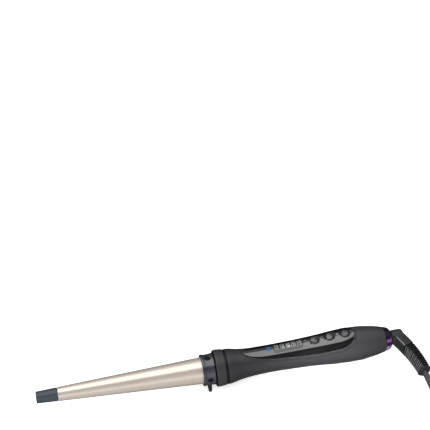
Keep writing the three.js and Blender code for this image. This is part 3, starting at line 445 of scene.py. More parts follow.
def surface_z(x, y, offset=0.0):
    """Height of the handle's top surface, raised by an offset, over a point in plan."""
    radius = handle_radius(x) + offset
    return rise_at(x) + np.sqrt(np.maximum(radius**2 - np.asarray(y, float) ** 2, 0))


def bowed(shape):
    v, f = shape
    v = v.copy()
    v[:, 2] += rise_at(v[:, 0])
    return v, f


def handle_skin():
    """The handle's wall, from its front lip to its rear."""
    stations = np.unique(np.concatenate([
        np.linspace(SHELL_OUTLINE[0][0], SHELL_OUTLINE[2][0], 12),
        np.linspace(SHELL_OUTLINE[2][0], SHELL_OUTLINE[-1][0], 110),
    ]))
    out = [(s, float(handle_radius(s))) for s in stations]
    back = [(s, float(handle_radius(s)) - SHELL_WALL) for s in stations[::-4]]
    if back[-1][0] > stations[0] + 1e-9:
        back.append((stations[0], float(handle_radius(stations[0])) - SHELL_WALL))
    return bowed(along_x(revolve(out + back, 160)))


def panel_edge(per_span):
    """Near edge of the panel in plan, from its front point to its rear point."""
    return spline(
        PANEL_OUTLINE, per_span,
        first=(PANEL_OUTLINE[1][0], -PANEL_OUTLINE[1][1]),
        last=(PANEL_OUTLINE[-2][0], -PANEL_OUTLINE[-2][1]),
    )


def leaf(grow):
    """Closed plan outline of the panel, grown all round."""
    near = panel_edge(10)
    near[:, 1] = np.maximum(near[:, 1], 0)
    loop = np.concatenate([near, (near[1:-1] * (1, -1))[::-1]])
    along = np.roll(loop, -1, axis=0) - np.roll(loop, 1, axis=0)
    along /= np.linalg.norm(along, axis=1)[:, None]
    return loop + np.column_stack([-along[:, 1], along[:, 0]]) * grow


def flared_cutter(loops_and_heights):
    """Cutting tool through plan loops, each at a height or on a surface given as a function."""
    painted_light_bands = []
    for loop, height in loops_and_heights:
        z = height(loop[:, 0], loop[:, 1]) if callable(height) else np.full(len(loop), height)
        painted_light_bands.append(np.column_stack([loop, z]))
    return loft(painted_light_bands)


def rounded_rectangle(centre, length, width, corner):
    """Plan loop of a rounded rectangle centred on the panel."""
    return rounded(length / 2, width / 2, corner, 8) + (centre, 0)


def pad(loop, centre):
    """Closed lens over a convex plan loop: crowned like the handle, its rim rolled over."""
    middle = np.array(centre, float)
    reach = np.linalg.norm(loop - middle, axis=1)[:, None]

    def layer(plan, offset):
        return np.column_stack([plan, surface_z(plan[:, 0], plan[:, 1], offset)])

    painted_light_bands = [layer(loop, -INSERT_DEPTH)]
    for t in np.linspace(0, math.pi / 2, 5):
        plan = middle + (loop - middle) * (1 - PAD_EDGE * (1 - math.cos(t)) / reach)
        painted_light_bands.append(layer(plan, INSERT_PROUD - PAD_EDGE * (1 - math.sin(t))))
    for t in np.linspace(1, 0.04, 14)[1:]:
        painted_light_bands.append(layer(middle + (loop - middle) * (1 - PAD_EDGE / reach) * t, INSERT_PROUD))
    return loft(painted_light_bands)


# ---------------------------------------------------------------- node materials


class Nodes:
    """Short calls for building a node tree."""

    def __init__(self, tree):
        self.tree = tree
        tree.nodes.clear()

    def add(self, kind, **settings):
        node = self.tree.nodes.new(kind)
        for key, value in settings.items():
            setattr(node, key, value)
        return node

    def put(self, socket, value):
        """Sets a socket to a number or a colour, or links an output to it."""
        if isinstance(value, (int, float)):
            socket.default_value = value
        elif isinstance(value, tuple):
            socket.default_value = value + (1.0,) * (4 - len(value))
        else:
            self.tree.links.new(value, socket)

    def shade(self, **inputs):
        """Fills the shader's inputs; an underscore in a name stands for a space."""
        for key, value in inputs.items():
            self.put(self.shader.inputs[key.replace("_", " ")], value)

    def math(self, operation, a, b, clamp=False):
        node = self.add("ShaderNodeMath", operation=operation, use_clamp=clamp)
        self.put(node.inputs[0], a)
        self.put(node.inputs[1], b)
        return node.outputs[0]

    def span(self, value, low, high, to_low, to_high):
        node = self.add("ShaderNodeMapRange", clamp=True)
        keys = "Value", "From Min", "From Max", "To Min", "To Max"
        for key, number in zip(keys, (value, low, high, to_low, to_high)):
            self.put(node.inputs[key], number)
        return node.outputs["Result"]

    def mix(self, factor, a, b, blend="MIX"):
        node = self.add("ShaderNodeMix", data_type="RGBA", blend_type=blend)
        for i, value in ((0, factor), (6, a), (7, b)):
            self.put(node.inputs[i], value)
        return node.outputs[2]

    def noise(self, scale, detail=4.0, roughness=0.6, at=None):
        node = self.add("ShaderNodeTexNoise")
        self.put(node.inputs["Vector"], self.at if at is None else at)
        self.put(node.inputs["Scale"], scale)
        self.put(node.inputs["Detail"], detail)
        self.put(node.inputs["Roughness"], roughness)
        return node.outputs["Fac"]

    def patches(self, scale, detail, low, high, to_low, to_high, **more):
        """Noise with one span of its values stretched over another."""
        return self.span(self.noise(scale, detail, **more), low, high, to_low, to_high)

    def stretched(self, *scale):
        """Coordinates in the wand's frame, stretched by a scale along each axis."""
        node = self.add("ShaderNodeMapping")
        node.inputs["Rotation"].default_value = (0, -math.asin(-AXIS_X.z), 0)
        node.inputs["Scale"].default_value = scale
        self.put(node.inputs["Vector"], self.at)
        return node.outputs[0]

    def bump(self, height, strength, depth):
        """Normal of a relief whose depth is in millimetres."""
        node = self.add("ShaderNodeBump")
        self.put(node.inputs["Strength"], strength)
        self.put(node.inputs["Distance"], depth * MM)
        self.put(node.inputs["Height"], height)
        return node.outputs["Normal"]

    def ramp(self, value, stops):
        """Colour ramp through (place, colour) stops."""
        node = self.add("ShaderNodeValToRGB")
        while len(node.color_ramp.elements) < len(stops):
            node.color_ramp.elements.new(0.5)
        for element, (place, colour) in zip(node.color_ramp.elements, stops):
            element.position = place
            element.color = colour + (1.0,)
        self.put(node.inputs[0], value)
        return node.outputs[0]


def srgb(red, green, blue):
    """Screen colour, 0 to 255, to a linear colour."""
    out = []
    for channel in (red, green, blue):
        c = channel / 255
        out.append(c / 12.92 if c <= 0.04045 else ((c + 0.055) / 1.055) ** 2.4)
    return tuple(out)


def tinted(colour, factor, lift=0.0):
    return tuple(min(c * factor + lift, 1) for c in colour)


def start(name):
    material = bpy.data.materials.new(name)
    material.use_nodes = True
    n = Nodes(material.node_tree)
    n.shader = n.add("ShaderNodeBsdfPrincipled")
    n.at = n.add("ShaderNodeTexCoord").outputs["Object"]
    out = n.add("ShaderNodeOutputMaterial")
    n.put(out.inputs["Surface"], n.shader.outputs[0])
    return material, n


def finish(
    name, colour, rough, grain=1800, grain_depth=0.02, tone=0.12, rough_swing=0.08, metallic=0.0,
    ior=1.5, specular=0.5, speck=0.0, scratches=0.0,
):
    """Plastic, rubber or metal: clouded tone, fine grain, uneven gloss and light wear."""
    material, n = start(name)
    cloud = n.patches(90, 5, 0.35, 0.65, 0, 1)
    base = n.mix(cloud, tinted(colour, 1 - tone), tinted(colour, 1 + tone))
    if speck:
        dots = n.patches(grain * 0.6, 2, 0.62, 0.7, 0, speck)
        base = n.mix(dots, base, tinted(colour, 1.8, 0.03))
    smooth = max(rough - rough_swing, 0.02)
    gloss = n.patches(198, 6, 0.3, 0.7, smooth, rough + rough_swing)
    height = n.noise(grain, 3, 0.7)
    if scratches:
        lines = n.noise(1.0, 6, 0.75, at=n.stretched(60, 2600, 2600))
        height = n.math("ADD", height, n.math("MULTIPLY", lines, scratches))
        gloss = n.math("ADD", gloss, n.span(lines, 0.55, 0.75, 0, 0.12), clamp=True)
    n.shade(
        Base_Color=base, Roughness=gloss, Normal=n.bump(height, 1.0, grain_depth),
        Metallic=metallic, IOR=ior, Specular_IOR_Level=specular,
    )
    return material


def barrel_finish(name, colour, rough, polish=0.0):
    """Pearl ceramic coat: lathe-fine rings round the tube, pearl flecks, a faint warm cloud."""
    material, n = start(name)
    rings = n.noise(1.0, 4, 0.7, at=n.stretched(5200, 14, 14))
    fleck = n.noise(5200, 2, 0.5)
    warm = tuple(c * f for c, f in zip(colour, (1.0, 0.955, 0.91)))
    base = n.mix(n.patches(38, 4, 0.35, 0.65, 0, 1), colour, warm)
    pearl = n.span(fleck, 0.6, 0.72, 0, 0.25 * (1 - polish))
    base = n.mix(pearl, base, tinted(colour, 1.12))
    base = n.mix(n.span(rings, 0.4, 0.6, 0, 0.18), base, tinted(colour, 0.9))
    height = n.math("ADD", n.math("MULTIPLY", rings, 0.6), n.math("MULTIPLY", fleck, 0.4))
    n.shade(
        Base_Color=base, Roughness=n.patches(150, 6, 0.3, 0.7, rough - 0.03, rough + 0.05),
        Normal=n.bump(height, 0.35 * (1 - polish), 0.003),
        Metallic=0.6, Coat_Weight=0.25, Coat_Roughness=0.25,
    )
    return material


def gloss_finish(name, colour, rough=0.03, ior=1.9, specular=1.0, emission=None):
    """Polished plastic or a lit lens: clean reflections, faint ripple, a little dust."""
    material, n = start(name)
    motes = n.patches(2400, 2, 0.7, 0.78, 0, 1, roughness=0.5)
    base = n.mix(n.math("MULTIPLY", motes, 0.08), colour, tinted(colour, 1, 0.12))
    cloud = n.patches(120, 4, 0.35, 0.65, 0, 1)
    base = n.mix(n.math("MULTIPLY", cloud, 0.25), base, tinted(colour, 1.35, 0.001))
    smear = n.patches(1.0, 5, 0.4, 0.75, rough, rough + 0.05, at=n.stretched(30, 90, 90))
    n.shade(
        Base_Color=base, Roughness=n.math("ADD", smear, n.math("MULTIPLY", motes, 0.1)),
        Normal=n.bump(n.noise(60, 2), 0.15, 0.02), IOR=ior, Specular_IOR_Level=specular,
    )
    if emission:
        n.shade(Emission_Color=emission[:3], Emission_Strength=emission[3])
    return material


def end_ring_finish(name):
    """Tinted clear plastic with its light and shade painted into the colour by height: a painted
    lilac glow low in the wall, a painted violet highlight band above the middle, painted near-black
    shade on top.
    """
    material, n = start(name)
    split = n.add("ShaderNodeSeparateXYZ")
    n.put(split.inputs[0], n.stretched(1, 1, 1))
    depth = n.span(split.outputs["Z"], END_RING_LOW, END_RING_HIGH, 0, 1)
    # Base colour by height carries painted light: a lilac glow low, a violet highlight band above
    # the middle, near-black shade on top.
    painted_light_bands = n.ramp(n.math("ADD", depth, n.patches(260, 3, 0.3, 0.7, -0.04, 0.04)), [
        (0.0, srgb(146, 128, 162)), (0.46, srgb(140, 122, 156)), (0.54, srgb(44, 20, 60)),
        (0.67, srgb(48, 22, 64)), (0.72, srgb(118, 84, 134)), (0.785, srgb(112, 78, 128)),
        (0.84, srgb(34, 14, 42)), (1.0, srgb(22, 10, 28)),
    ])
    n.shade(
        Base_Color=painted_light_bands, Roughness=n.patches(400, 4, 0.3, 0.7, 0.05, 0.11),
        Normal=n.bump(n.noise(300, 2), 0.2, 0.01),
        Specular_IOR_Level=0.25, Coat_Weight=0.12, Coat_Roughness=0.03,
    )
    return material


def board_finish(name):
    """Green solder mask over copper tracks."""
    material, n = start(name)
    brick = n.add("ShaderNodeTexBrick", offset=0.35)
    for key, value in (
        ("Vector", n.at), ("Scale", 260), ("Mortar Size", 0.09), ("Color1", srgb(24, 92, 50)),
        ("Color2", srgb(28, 104, 58)), ("Mortar", srgb(60, 140, 80)),
    ):
        n.put(brick.inputs[key], value)
    pads = n.patches(700, 1, 0.7, 0.72, 0, 1)
    n.shade(
        Base_Color=n.mix(pads, brick.outputs["Color"], srgb(198, 190, 160)),
        Roughness=n.patches(300, 4, 0.3, 0.7, 0.25, 0.45),
        Normal=n.bump(brick.outputs["Fac"], 0.5, 0.03),
    )
    return material


# The end ring's painted light and shade run over its whole height.
END_RING_RADIUS = 11.6
END_RING_LOW = float(WAND_ORIGIN @ np.array(AXIS_Z)) + (HANDLE_RISE - END_RING_RADIUS) * MM
END_RING_HIGH = END_RING_LOW + 2 * END_RING_RADIUS * MM

# Name, colour, roughness, and what else differs from the usual moulded plastic.
MOULDED = [
    ("tip_plastic", srgb(66, 71, 80), 0.3, dict(grain=2600, tone=0.05, speck=0.15)),
    ("aluminium_shoe", (0.72, 0.73, 0.75), 0.35, dict(metallic=1.0, scratches=0.6)),
    ("heater_ceramic", srgb(232, 226, 210), 0.6, dict(tone=0.05, speck=0.3)),
    ("white_plastic", srgb(222, 221, 214), 0.4, dict(tone=0.03)),
    ("steel", (0.55, 0.56, 0.58), 0.28, dict(metallic=1.0, tone=0.1, scratches=0.4)),
    ("collar_plastic", srgb(50, 54, 64), 0.2, dict(
        grain=2400, tone=0.05, rough_swing=0.04, ior=1.7, specular=0.9,
    )),
    ("screw_black", (0.012, 0.0125, 0.015), 0.4, dict(
        metallic=0.2, tone=0.15, specular=0.3, scratches=0.5,
    )),
    # Painted shade: near black for gaps, recesses and hidden ends where shade falls.
    ("painted_gap_shade", srgb(8, 8, 9), 0.6, dict(tone=0.1, specular=0.2)),
    # Painted shade for the dished wells round the buttons.
    ("painted_well_shade", srgb(24, 24, 26), 0.5, dict(grain=2600, tone=0.08, specular=0.3)),
    # Painted highlight: a light rubber grey for the lit flanks of the guard's ribs.
    ("painted_highlight_rubber", srgb(124, 127, 130), 0.34, dict(grain=1500, tone=0.06, speck=0.1)),
    ("foot_rubber", srgb(30, 31, 34), 0.45, dict(grain=2000, tone=0.08)),
    ("dark_band", srgb(15, 15, 17), 0.45, dict(grain=2000, tone=0.1)),
    ("handle_plastic", srgb(50, 50, 53), 0.4, dict(
        grain=2200, grain_depth=0.03, tone=0.045, speck=0.14,
    )),
    # Grey plastic of the front ring, also used as the painted highlight on the panel's thin rim.
    ("grey_plastic_and_rim_highlight", srgb(56, 56, 60), 0.38, dict(grain=2200, tone=0.04, speck=0.1)),
    ("display_white", srgb(206, 212, 210), 0.4, dict(tone=0.04)),
    ("mark_grey", srgb(92, 93, 95), 0.45, dict(tone=0.05)),
    ("black_plastic", srgb(30, 30, 32), 0.42, dict(tone=0.08)),
    ("button_plastic", srgb(70, 70, 73), 0.34, dict(grain=2600, tone=0.05, speck=0.12)),
    ("contact_brass", (0.78, 0.58, 0.26), 0.25, dict(metallic=1.0, scratches=0.5)),
    ("red_wire", srgb(166, 44, 36), 0.4, dict(tone=0.06)),
    ("blue_wire", srgb(44, 80, 160), 0.4, dict(tone=0.06)),
    ("white_wire", srgb(224, 222, 214), 0.5, dict(tone=0.04)),
    ("cord_rubber", srgb(44, 46, 48), 0.34, dict(
        grain=1500, grain_depth=0.03, tone=0.07, speck=0.1,
    )),
    ("cable_jacket", srgb(66, 66, 68), 0.42, dict(grain=1300, grain_depth=0.03, tone=0.06)),
    ("pin_sleeve", srgb(40, 41, 43), 0.35, dict(tone=0.08)),
]
LOOKS = {name: finish(name, colour, rough, **more) for name, colour, rough, more in MOULDED}
for name, make, settings in (
    ("ceramic_coated_barrel", barrel_finish, dict(colour=(0.93, 0.845, 0.765), rough=0.24)),
    ("polished_lip", barrel_finish, dict(colour=(0.97, 0.90, 0.86), rough=0.12, polish=0.8)),
    ("panel_gloss", gloss_finish, dict(colour=srgb(13, 13, 15))),
    ("window_tint", gloss_finish, dict(colour=srgb(15, 18, 18), ior=1.75, specular=0.8)),
    ("blue_lens", gloss_finish, dict(
        colour=srgb(42, 76, 116), rough=0.12, ior=1.6, specular=0.6,
        emission=srgb(58, 100, 150) + (0.1,),
    )),
    ("circuit_board", board_finish, {}),
    ("purple_plastic", end_ring_finish, {}),
):
    LOOKS[name] = make(name, **settings)

# ---------------------------------------------------------------- making pieces


def piece(
    name, shape, look, body="wand", stands_for=(), slot=None, place=place_wand, angle=28, extra=(),
):
    """A visible piece: placed in the row frame, shaded smooth between its sharp edges."""
    mesh = shape if isinstance(shape, bpy.types.Mesh) else as_mesh(shape)
    mesh.name = name
    set_points(mesh, place(points_of(mesh)))
    bm = bmesh.new()
    bm.from_mesh(mesh)
    bmesh.ops.remove_doubles(bm, verts=bm.verts, dist=2e-7)
    bmesh.ops.dissolve_degenerate(bm, edges=bm.edges, dist=1e-7)
    bmesh.ops.recalc_face_normals(bm, faces=bm.faces)
    for face in bm.faces:
        face.smooth = True
    for edge in bm.edges:
        edge.smooth = len(edge.link_faces) == 2 and edge.calc_face_angle(0) <= angle * DEG
    bm.to_mesh(mesh)
    bm.free()
    mesh.materials.clear()
    for key in (look,) + extra:
        mesh.materials.append(LOOKS[key])
    obj = bpy.data.objects.new(name, mesh)
    bpy.context.scene.collection.objects.link(obj)
    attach(obj, body)
    if stands_for:
        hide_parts(*stands_for)
    return obj


def paint(obj, chosen, index=1):
    """Gives the faces that the test picks, by their wand-frame centres, another finish."""
    faces = obj.data.polygons
    centres = (np.array([face.center for face in faces]) - WAND_ORIGIN) / MM @ WAND_TURN
    for face, picked in zip(faces, chosen(centres)):
        if picked:
            face.material_index = index


def from_axis(c):
    return np.hypot(c[:, 1], c[:, 2])


def skin(node, shape, look, body="wand", slot=None, **options):
    """The piece that stands for one CAD node."""
    return piece(node + "_skin", shape, look, body, (node,), slot, **options)


# ---------------------------------------------------------------- tip and barrel

skin("cool_tip_cap", along_x(revolve(eased([
    (TIP_FRONT + 0.25, 0),
    (TIP_FRONT + 0.25, TIP_FRONT_RADIUS - 1.6),
    (TIP_FRONT, TIP_FRONT_RADIUS - 1.3),
    (TIP_FRONT, TIP_FRONT_RADIUS - 0.1),
    (TIP_FRONT + 1.0, TIP_FRONT_RADIUS + 0.04),
    (TIP_BACK - 0.4, TIP_BACK_RADIUS),
    (TIP_BACK, TIP_BACK_RADIUS - 0.3),
    (TIP_BACK, TIP_SPIGOT_RADIUS),
    (TIP_SPIGOT_END, TIP_SPIGOT_RADIUS),
    (TIP_SPIGOT_END, 0),
], 0.45))), "tip_plastic")


def barrel_radius(station):
    t = min((station - BARREL_FRONT) / (BARREL_TAPER_END - BARREL_FRONT), 1)
    return BARREL_FRONT_RADIUS + t * (BARREL_RADIUS - BARREL_FRONT_RADIUS)


lip_end = BARREL_FRONT + LIP_LENGTH
taper = [(s, barrel_radius(s)) for s in np.linspace(lip_end + 0.12, BARREL_TAPER_END, 60)]
barrel_outline = [
    (BARREL_FRONT, BARREL_FRONT_RADIUS - BARREL_WALL),
    (BARREL_FRONT, BARREL_FRONT_RADIUS - 0.45),
    (BARREL_FRONT + 0.08, BARREL_FRONT_RADIUS - 0.2),
    (BARREL_FRONT + 0.25, BARREL_FRONT_RADIUS - 0.04),
    (BARREL_FRONT + 0.5, BARREL_FRONT_RADIUS + 0.02),
    (lip_end - 0.15, barrel_radius(lip_end)),
    (lip_end, barrel_radius(lip_end) - 0.06),
] + taper + [
    (BARREL_HIDDEN, BARREL_RADIUS),
    (BARREL_BACK, BARREL_RADIUS),
    (BARREL_BACK, BARREL_RADIUS - BARREL_WALL),
    (BARREL_TAPER_END, BARREL_RADIUS - BARREL_WALL),
]


def barrel_post(outline, degrees, sides=40):
    """A post that stands out of the barrel at the screw station."""
    return around(vertical(outline, SCREW_STATION, 0, sides), degrees)


hole_outline = rod(SCREW_HOLE_END, 14.05, SCREW_HOLE_RADIUS)
screw_holes = [barrel_post(hole_outline, degrees) for _, degrees in SCREWS]
barrel = skin(
    "heated_barrel", difference(along_x(revolve(barrel_outline, 144)), screw_holes),
    "ceramic_coated_barrel", extra=("polished_lip", "painted_gap_shade"),
)
paint(barrel, lambda c: c[:, 0] < lip_end)
# Painted shade on the end hidden in the collar, seen dark through the gap.
paint(barrel, lambda c: c[:, 0] > BARREL_HIDDEN, 2)

# ---------------------------------------------------------------- collar, feet and screws

collar = along_x(revolve(
    eased([(-0.5, COLLAR_BORE), (-12.2, COLLAR_BORE)] + COLLAR_OUTLINE, 0.3, closed=True), 144,
))
foot_outline = [
    (FOOT_ROOT - 0.2, 0), (FOOT_ROOT - 0.2, FOOT_ROOT_RADIUS + 0.5),
    (FOOT_ROOT + 1.0, FOOT_ROOT_RADIUS + 0.35), (FOOT_ROOT + 1.6, FOOT_ROOT_RADIUS),
    (FOOT_ROOT + 2.4, FOOT_ROOT_RADIUS - 0.2), (FOOT_ROOT + FOOT_LENGTH, FOOT_TIP_RADIUS),
    (FOOT_ROOT + FOOT_LENGTH, 0),
]
feet = [barrel_post(foot_outline, 180 + splay) for splay in (-FOOT_SPLAY, FOOT_SPLAY)]
recess_outline = [
    (SCREW_RECESS_FLOOR, 0), (SCREW_RECESS_FLOOR, SCREW_RECESS_RADIUS),
    (13.95, SCREW_RECESS_RADIUS), (14.5, SCREW_RECESS_RADIUS + 0.45),
    (17, SCREW_RECESS_RADIUS + 0.45), (17, 0),
]
recesses = [barrel_post(recess_outline, degrees) for _, degrees in SCREWS]
below, below_faces = block((-40, 40), (-40, 40), (GROUND_Z - 20, GROUND_Z))
tools = recesses + screw_holes + [(below @ WAND_TURN, below_faces)]
collar_piece = skin(
    "barrel_collar",
    carved(collar, *[("UNION", foot) for foot in feet], *[("DIFFERENCE", tool) for tool in tools]),
    "collar_plastic", extra=("foot_rubber", "painted_gap_shade"),
)


def in_screw_recess(c):
    """The screws stand at quarter turns, so the nearer of Y and Z is the distance beside them."""
    beside = np.minimum(np.abs(c[:, 1]), np.abs(c[:, 2]))
    from_screw = np.hypot(c[:, 0] - SCREW_STATION, beside)
    return (from_screw < SCREW_RECESS_RADIUS + 0.4) & (from_axis(c) < SCREW_RECESS_MOUTH)


paint(collar_piece, lambda c: from_axis(c) > FOOT_START)
# Painted shade: the rear face, in the gap before the ring, and the screw recesses are painted near
# black.
paint(collar_piece, lambda c: (c[:, 0] > COLLAR_REAR_FACE) & (from_axis(c) < FOOT_START), 2)
paint(collar_piece, in_screw_recess, 2)


def cross_slots(top, depth, arm, width):
    """Cutting tools for a cross recess."""
    return [
        block((-arm, arm), (-width, width), (top - depth, top + 1)),
        block((-width, width), (-arm, arm), (top - depth, top + 1)),
    ]


def screw(head_radius, seat, top, shank_radius, shank_end, degrees, place):
    """Pan-head screw made along +Z, with a cross recess and a threaded shank, then placed."""
    thread = []
    turns = 8
    for i in range(turns):
        a = shank_end + (seat - shank_end) * i / turns
        b = shank_end + (seat - shank_end) * (i + 0.5) / turns
        thread += [(a, shank_radius - 0.18), (b, shank_radius)]
    outline = [(shank_end, 0)] + thread + [
        (seat, shank_radius - 0.1), (seat, head_radius), (top - 0.35, head_radius),
        (top - 0.12, head_radius - 0.22), (top, head_radius - 0.6), (top, 0),
    ]
    turn = np.array(Matrix.Rotation(degrees * DEG, 3, "Z")).T
    slots = [(v @ turn, f) for v, f in cross_slots(top, 0.55, head_radius * 0.62, 0.24)]
    mesh = difference(revolve(outline, 48), slots)
    return set_points(mesh, place(points_of(mesh)))


for side, degrees in SCREWS:
    skin(f"collar_screw_{side}", screw(
        SCREW_HEAD_RADIUS, SCREW_HEAD_SEAT, SCREW_HEAD_TOP, SCREW_SHANK_RADIUS, SCREW_SHANK_END,
        20 + degrees, lambda v: around((v + (SCREW_STATION, 0, 0), None), degrees)[0],
    ), "screw_black", slot="steel")

# ---------------------------------------------------------------- handle

front_ring = skin(
    "handle_front_ring", along_x(revolve(eased(RING_OUTLINE, 0.35, closed=True), 160)),
    "grey_plastic_and_rim_highlight", slot="handle_plastic", extra=("dark_band", "painted_gap_shade"),
)
paint(front_ring, lambda c: c[:, 0] > BAND_START)
# Painted shade on the front face, in the gap behind the collar.
paint(front_ring, lambda c: c[:, 0] < RING_FRONT_FACE, 2)


def boss(station, side, direction):
    """Post from a shell's wall to the parting plane, for a shell screw."""
    reach = math.sqrt((handle_radius(station) - 1.1) ** 2 - (abs(side) + BOSS_RADIUS / 2) ** 2)
    low, high = sorted((
        float(rise_at(station)) + direction * reach, direction * PARTING_GAP / 2,
    ))
    return vertical(rod(low, high, BOSS_RADIUS), station, side)


def screw_recess(station, side):
    """Cutting tool for a shell screw's recess in the underside."""
    surface = math.sqrt(float(handle_radius(station)) ** 2 - side * side)
    floor = float(rise_at(station)) - surface
    return vertical([
        (-FAR, 0), (-FAR, SHELL_RECESS_RADIUS + 0.5), (floor - 0.1, SHELL_RECESS_RADIUS + 0.5),
        (floor + 0.6, SHELL_RECESS_RADIUS), (SHELL_SCREW_TOP + 0.1, SHELL_RECESS_RADIUS),
        (SHELL_SCREW_TOP + 0.1, 0),
    ], station, side)


FAR = 40.0
bores = [vertical(rod(-9, BOSS_BORE_TOP, BOSS_BORE), s, y) for _, s, y in SHELL_SCREWS]
opening = flared_cutter([
    (leaf(PANEL_GAP), 3.0),
    (leaf(PANEL_GAP), lambda x, y: surface_z(x, y, -0.35)),
    (leaf(PANEL_GAP + 0.12), lambda x, y: surface_z(x, y, -0.12)),
    (leaf(PANEL_GAP + 0.4), lambda x, y: surface_z(x, y, 0.12)),
    (leaf(PANEL_GAP + 0.5), 26.0),
])
underside = [screw_recess(s, y) for _, s, y in SHELL_SCREWS]
for name, direction, openings in (("upper", 1, [opening]), ("lower", -1, underside)):
    limits = sorted((direction * PARTING_GAP / 2, direction * FAR))
    steps = [("INTERSECT", block((0, 175), (-FAR, FAR), limits))]
    steps += [("UNION", boss(s, y, direction)) for _, s, y in SHELL_SCREWS]
    steps += [("DIFFERENCE", tool) for tool in bores + openings]
    skin(f"handle_shell_{name}", carved(handle_skin(), *steps), "handle_plastic")

for name, s, y in SHELL_SCREWS:
    skin(f"shell_screw_{name}", screw(
        SHELL_SCREW_HEAD_RADIUS, -SHELL_SCREW_TOP, SHELL_SCREW_HEAD_HEIGHT - SHELL_SCREW_TOP,
        SHELL_SCREW_SHANK_RADIUS, -SHELL_SCREW_TIP_Z, 35, lambda v: v * (1, -1, -1) + (s, y, 0),
    ), "screw_black", slot="steel")

# ---------------------------------------------------------------- control panel

near = panel_edge(14)
near = near[near[:, 1] > 0.25]
heading = np.gradient(near, axis=0)
slant = np.linalg.norm(heading, axis=1) / np.maximum(np.abs(heading[:, 0]), 1e-6)
rim_widths = np.minimum(RIM_WIDTH * np.minimum(slant, 4), 0.3 * near[:, 1])
shoulders = np.minimum(pchip(SHOULDER_WIDTHS, near[:, 0]), SHOULDER_SHARE * near[:, 1])


def panel_row(s, half, rim, shoulder):
    """Section across the panel: rolled edge, thin rim, groove, dark sloping shoulder, crown."""
    outer = half - 1.06 * rim
    inner = outer - shoulder
    high, low = (float(surface_z(s, y, PANEL_PROUD)) for y in (inner, outer))
    sunk = min(max(SHOULDER_FALL * shoulder - (high - low), 0), SHOULDER_DROP)
    roll = min(PANEL_EDGE, 0.2 * half)
    side = [
        (half - roll * (1 - math.cos(a)), PANEL_PROUD - roll * (1 - math.sin(a)))
        for a in np.linspace(0, math.pi / 2, 5)
    ] + [
        (half - 0.88 * rim, PANEL_PROUD), (half - 0.94 * rim, PANEL_PROUD - sunk - RIM_GROOVE),
        (half - rim, PANEL_PROUD - sunk - RIM_GROOVE),
    ]
    side = [(y, float(surface_z(s, y, offset))) for y, offset in side] + [
        (outer - shoulder * t, low - sunk + (high - low + sunk) * t) for t in np.linspace(0, 1, 7)
    ]
    crown = np.linspace(-inner, inner, 33)[1:-1]
    under = np.linspace(half, -half, 17)
    return [(s, -y, z) for y, z in side] + [
        (s, y, float(surface_z(s, y, PANEL_PROUD))) for y in crown
    ] + [(s, y, z) for y, z in side[::-1]] + [
        (s, y, float(surface_z(s, y, -PANEL_DEPTH))) for y in under
    ]


rows = [panel_row(*row) for row in zip(near[:, 0], near[:, 1], rim_widths, shoulders)]
window_loop = rounded_rectangle(WINDOW_CENTRE, WINDOW_LENGTH, WINDOW_WIDTH, WINDOW_CORNER)
light_loop = rounded_rectangle(LIGHT_STATION, LIGHT_LENGTH, LIGHT_WIDTH, LIGHT_CORNER)
panel_tools = []
for centre, length, width, corner in (
    (WINDOW_CENTRE, WINDOW_LENGTH, WINDOW_WIDTH, WINDOW_CORNER),
    (LIGHT_STATION, LIGHT_LENGTH, LIGHT_WIDTH, LIGHT_CORNER),
):
    snug, flare = (
        rounded_rectangle(centre, length + gap, width + gap, corner + INSERT_GAP)
        for gap in (2 * INSERT_GAP, 3 * INSERT_GAP)
    )
    panel_tools.append(flared_cutter([
        (snug, 5.0),
        (snug, lambda x, y: surface_z(x, y, PANEL_PROUD - 0.08)),
        (flare, lambda x, y: surface_z(x, y, PANEL_PROUD + 0.02)),
        (flare, 26.0),
    ]))
for _, station in BUTTONS:
    crown = crown_at(station)
    rim = crown + PANEL_PROUD
    pocket = crown + BUTTON_POCKET_TOP
    dish = [
        (crown - 6, 0), (crown - 6, BUTTON_POCKET_RADIUS), (pocket, BUTTON_POCKET_RADIUS),
        (pocket, BUTTON_HOLE_RADIUS), (rim - BUTTON_DISH_DEPTH - 0.1, BUTTON_HOLE_RADIUS),
    ] + [(
        rim - BUTTON_DISH_DEPTH * (1 - t**1.6),
        BUTTON_HOLE_RADIUS + 0.12 + (BUTTON_DISH_RADIUS - BUTTON_HOLE_RADIUS) * t,
    ) for t in np.linspace(0, 1, 9)]
    dish += [(rim + 3, BUTTON_DISH_RADIUS + 0.3), (rim + 3, 0)]
    panel_tools.append(vertical(dish, station, 0, 72))
panel = skin(
    "control_panel", difference(loft(rows), panel_tools), "panel_gloss", angle=24,
    extra=("grey_plastic_and_rim_highlight", "painted_well_shade"),
)


def rim_highlight_faces(c):
    half = np.interp(c[:, 0], near[:, 0], near[:, 1])
    return np.abs(c[:, 1]) > half - np.interp(c[:, 0], near[:, 0], rim_widths) * 0.92


def in_wells(c):
    reach = [np.hypot(c[:, 0] - station, c[:, 1]) for _, station in BUTTONS]
    return np.min(reach, axis=0) < BUTTON_DISH_RADIUS - 0.05


# The thin rim is painted matte grey: a painted highlight along the panel's edge.
paint(panel, rim_highlight_faces)
# The button wells are painted dark matte: painted shade in the dishes.
paint(panel, in_wells, 2)
skin("display_window", pad(window_loop, (WINDOW_CENTRE, 0)), "window_tint")
skin("power_light_lens", pad(light_loop, (LIGHT_STATION, 0)), "blue_lens")

# ---------------------------------------------------------------- printed marks


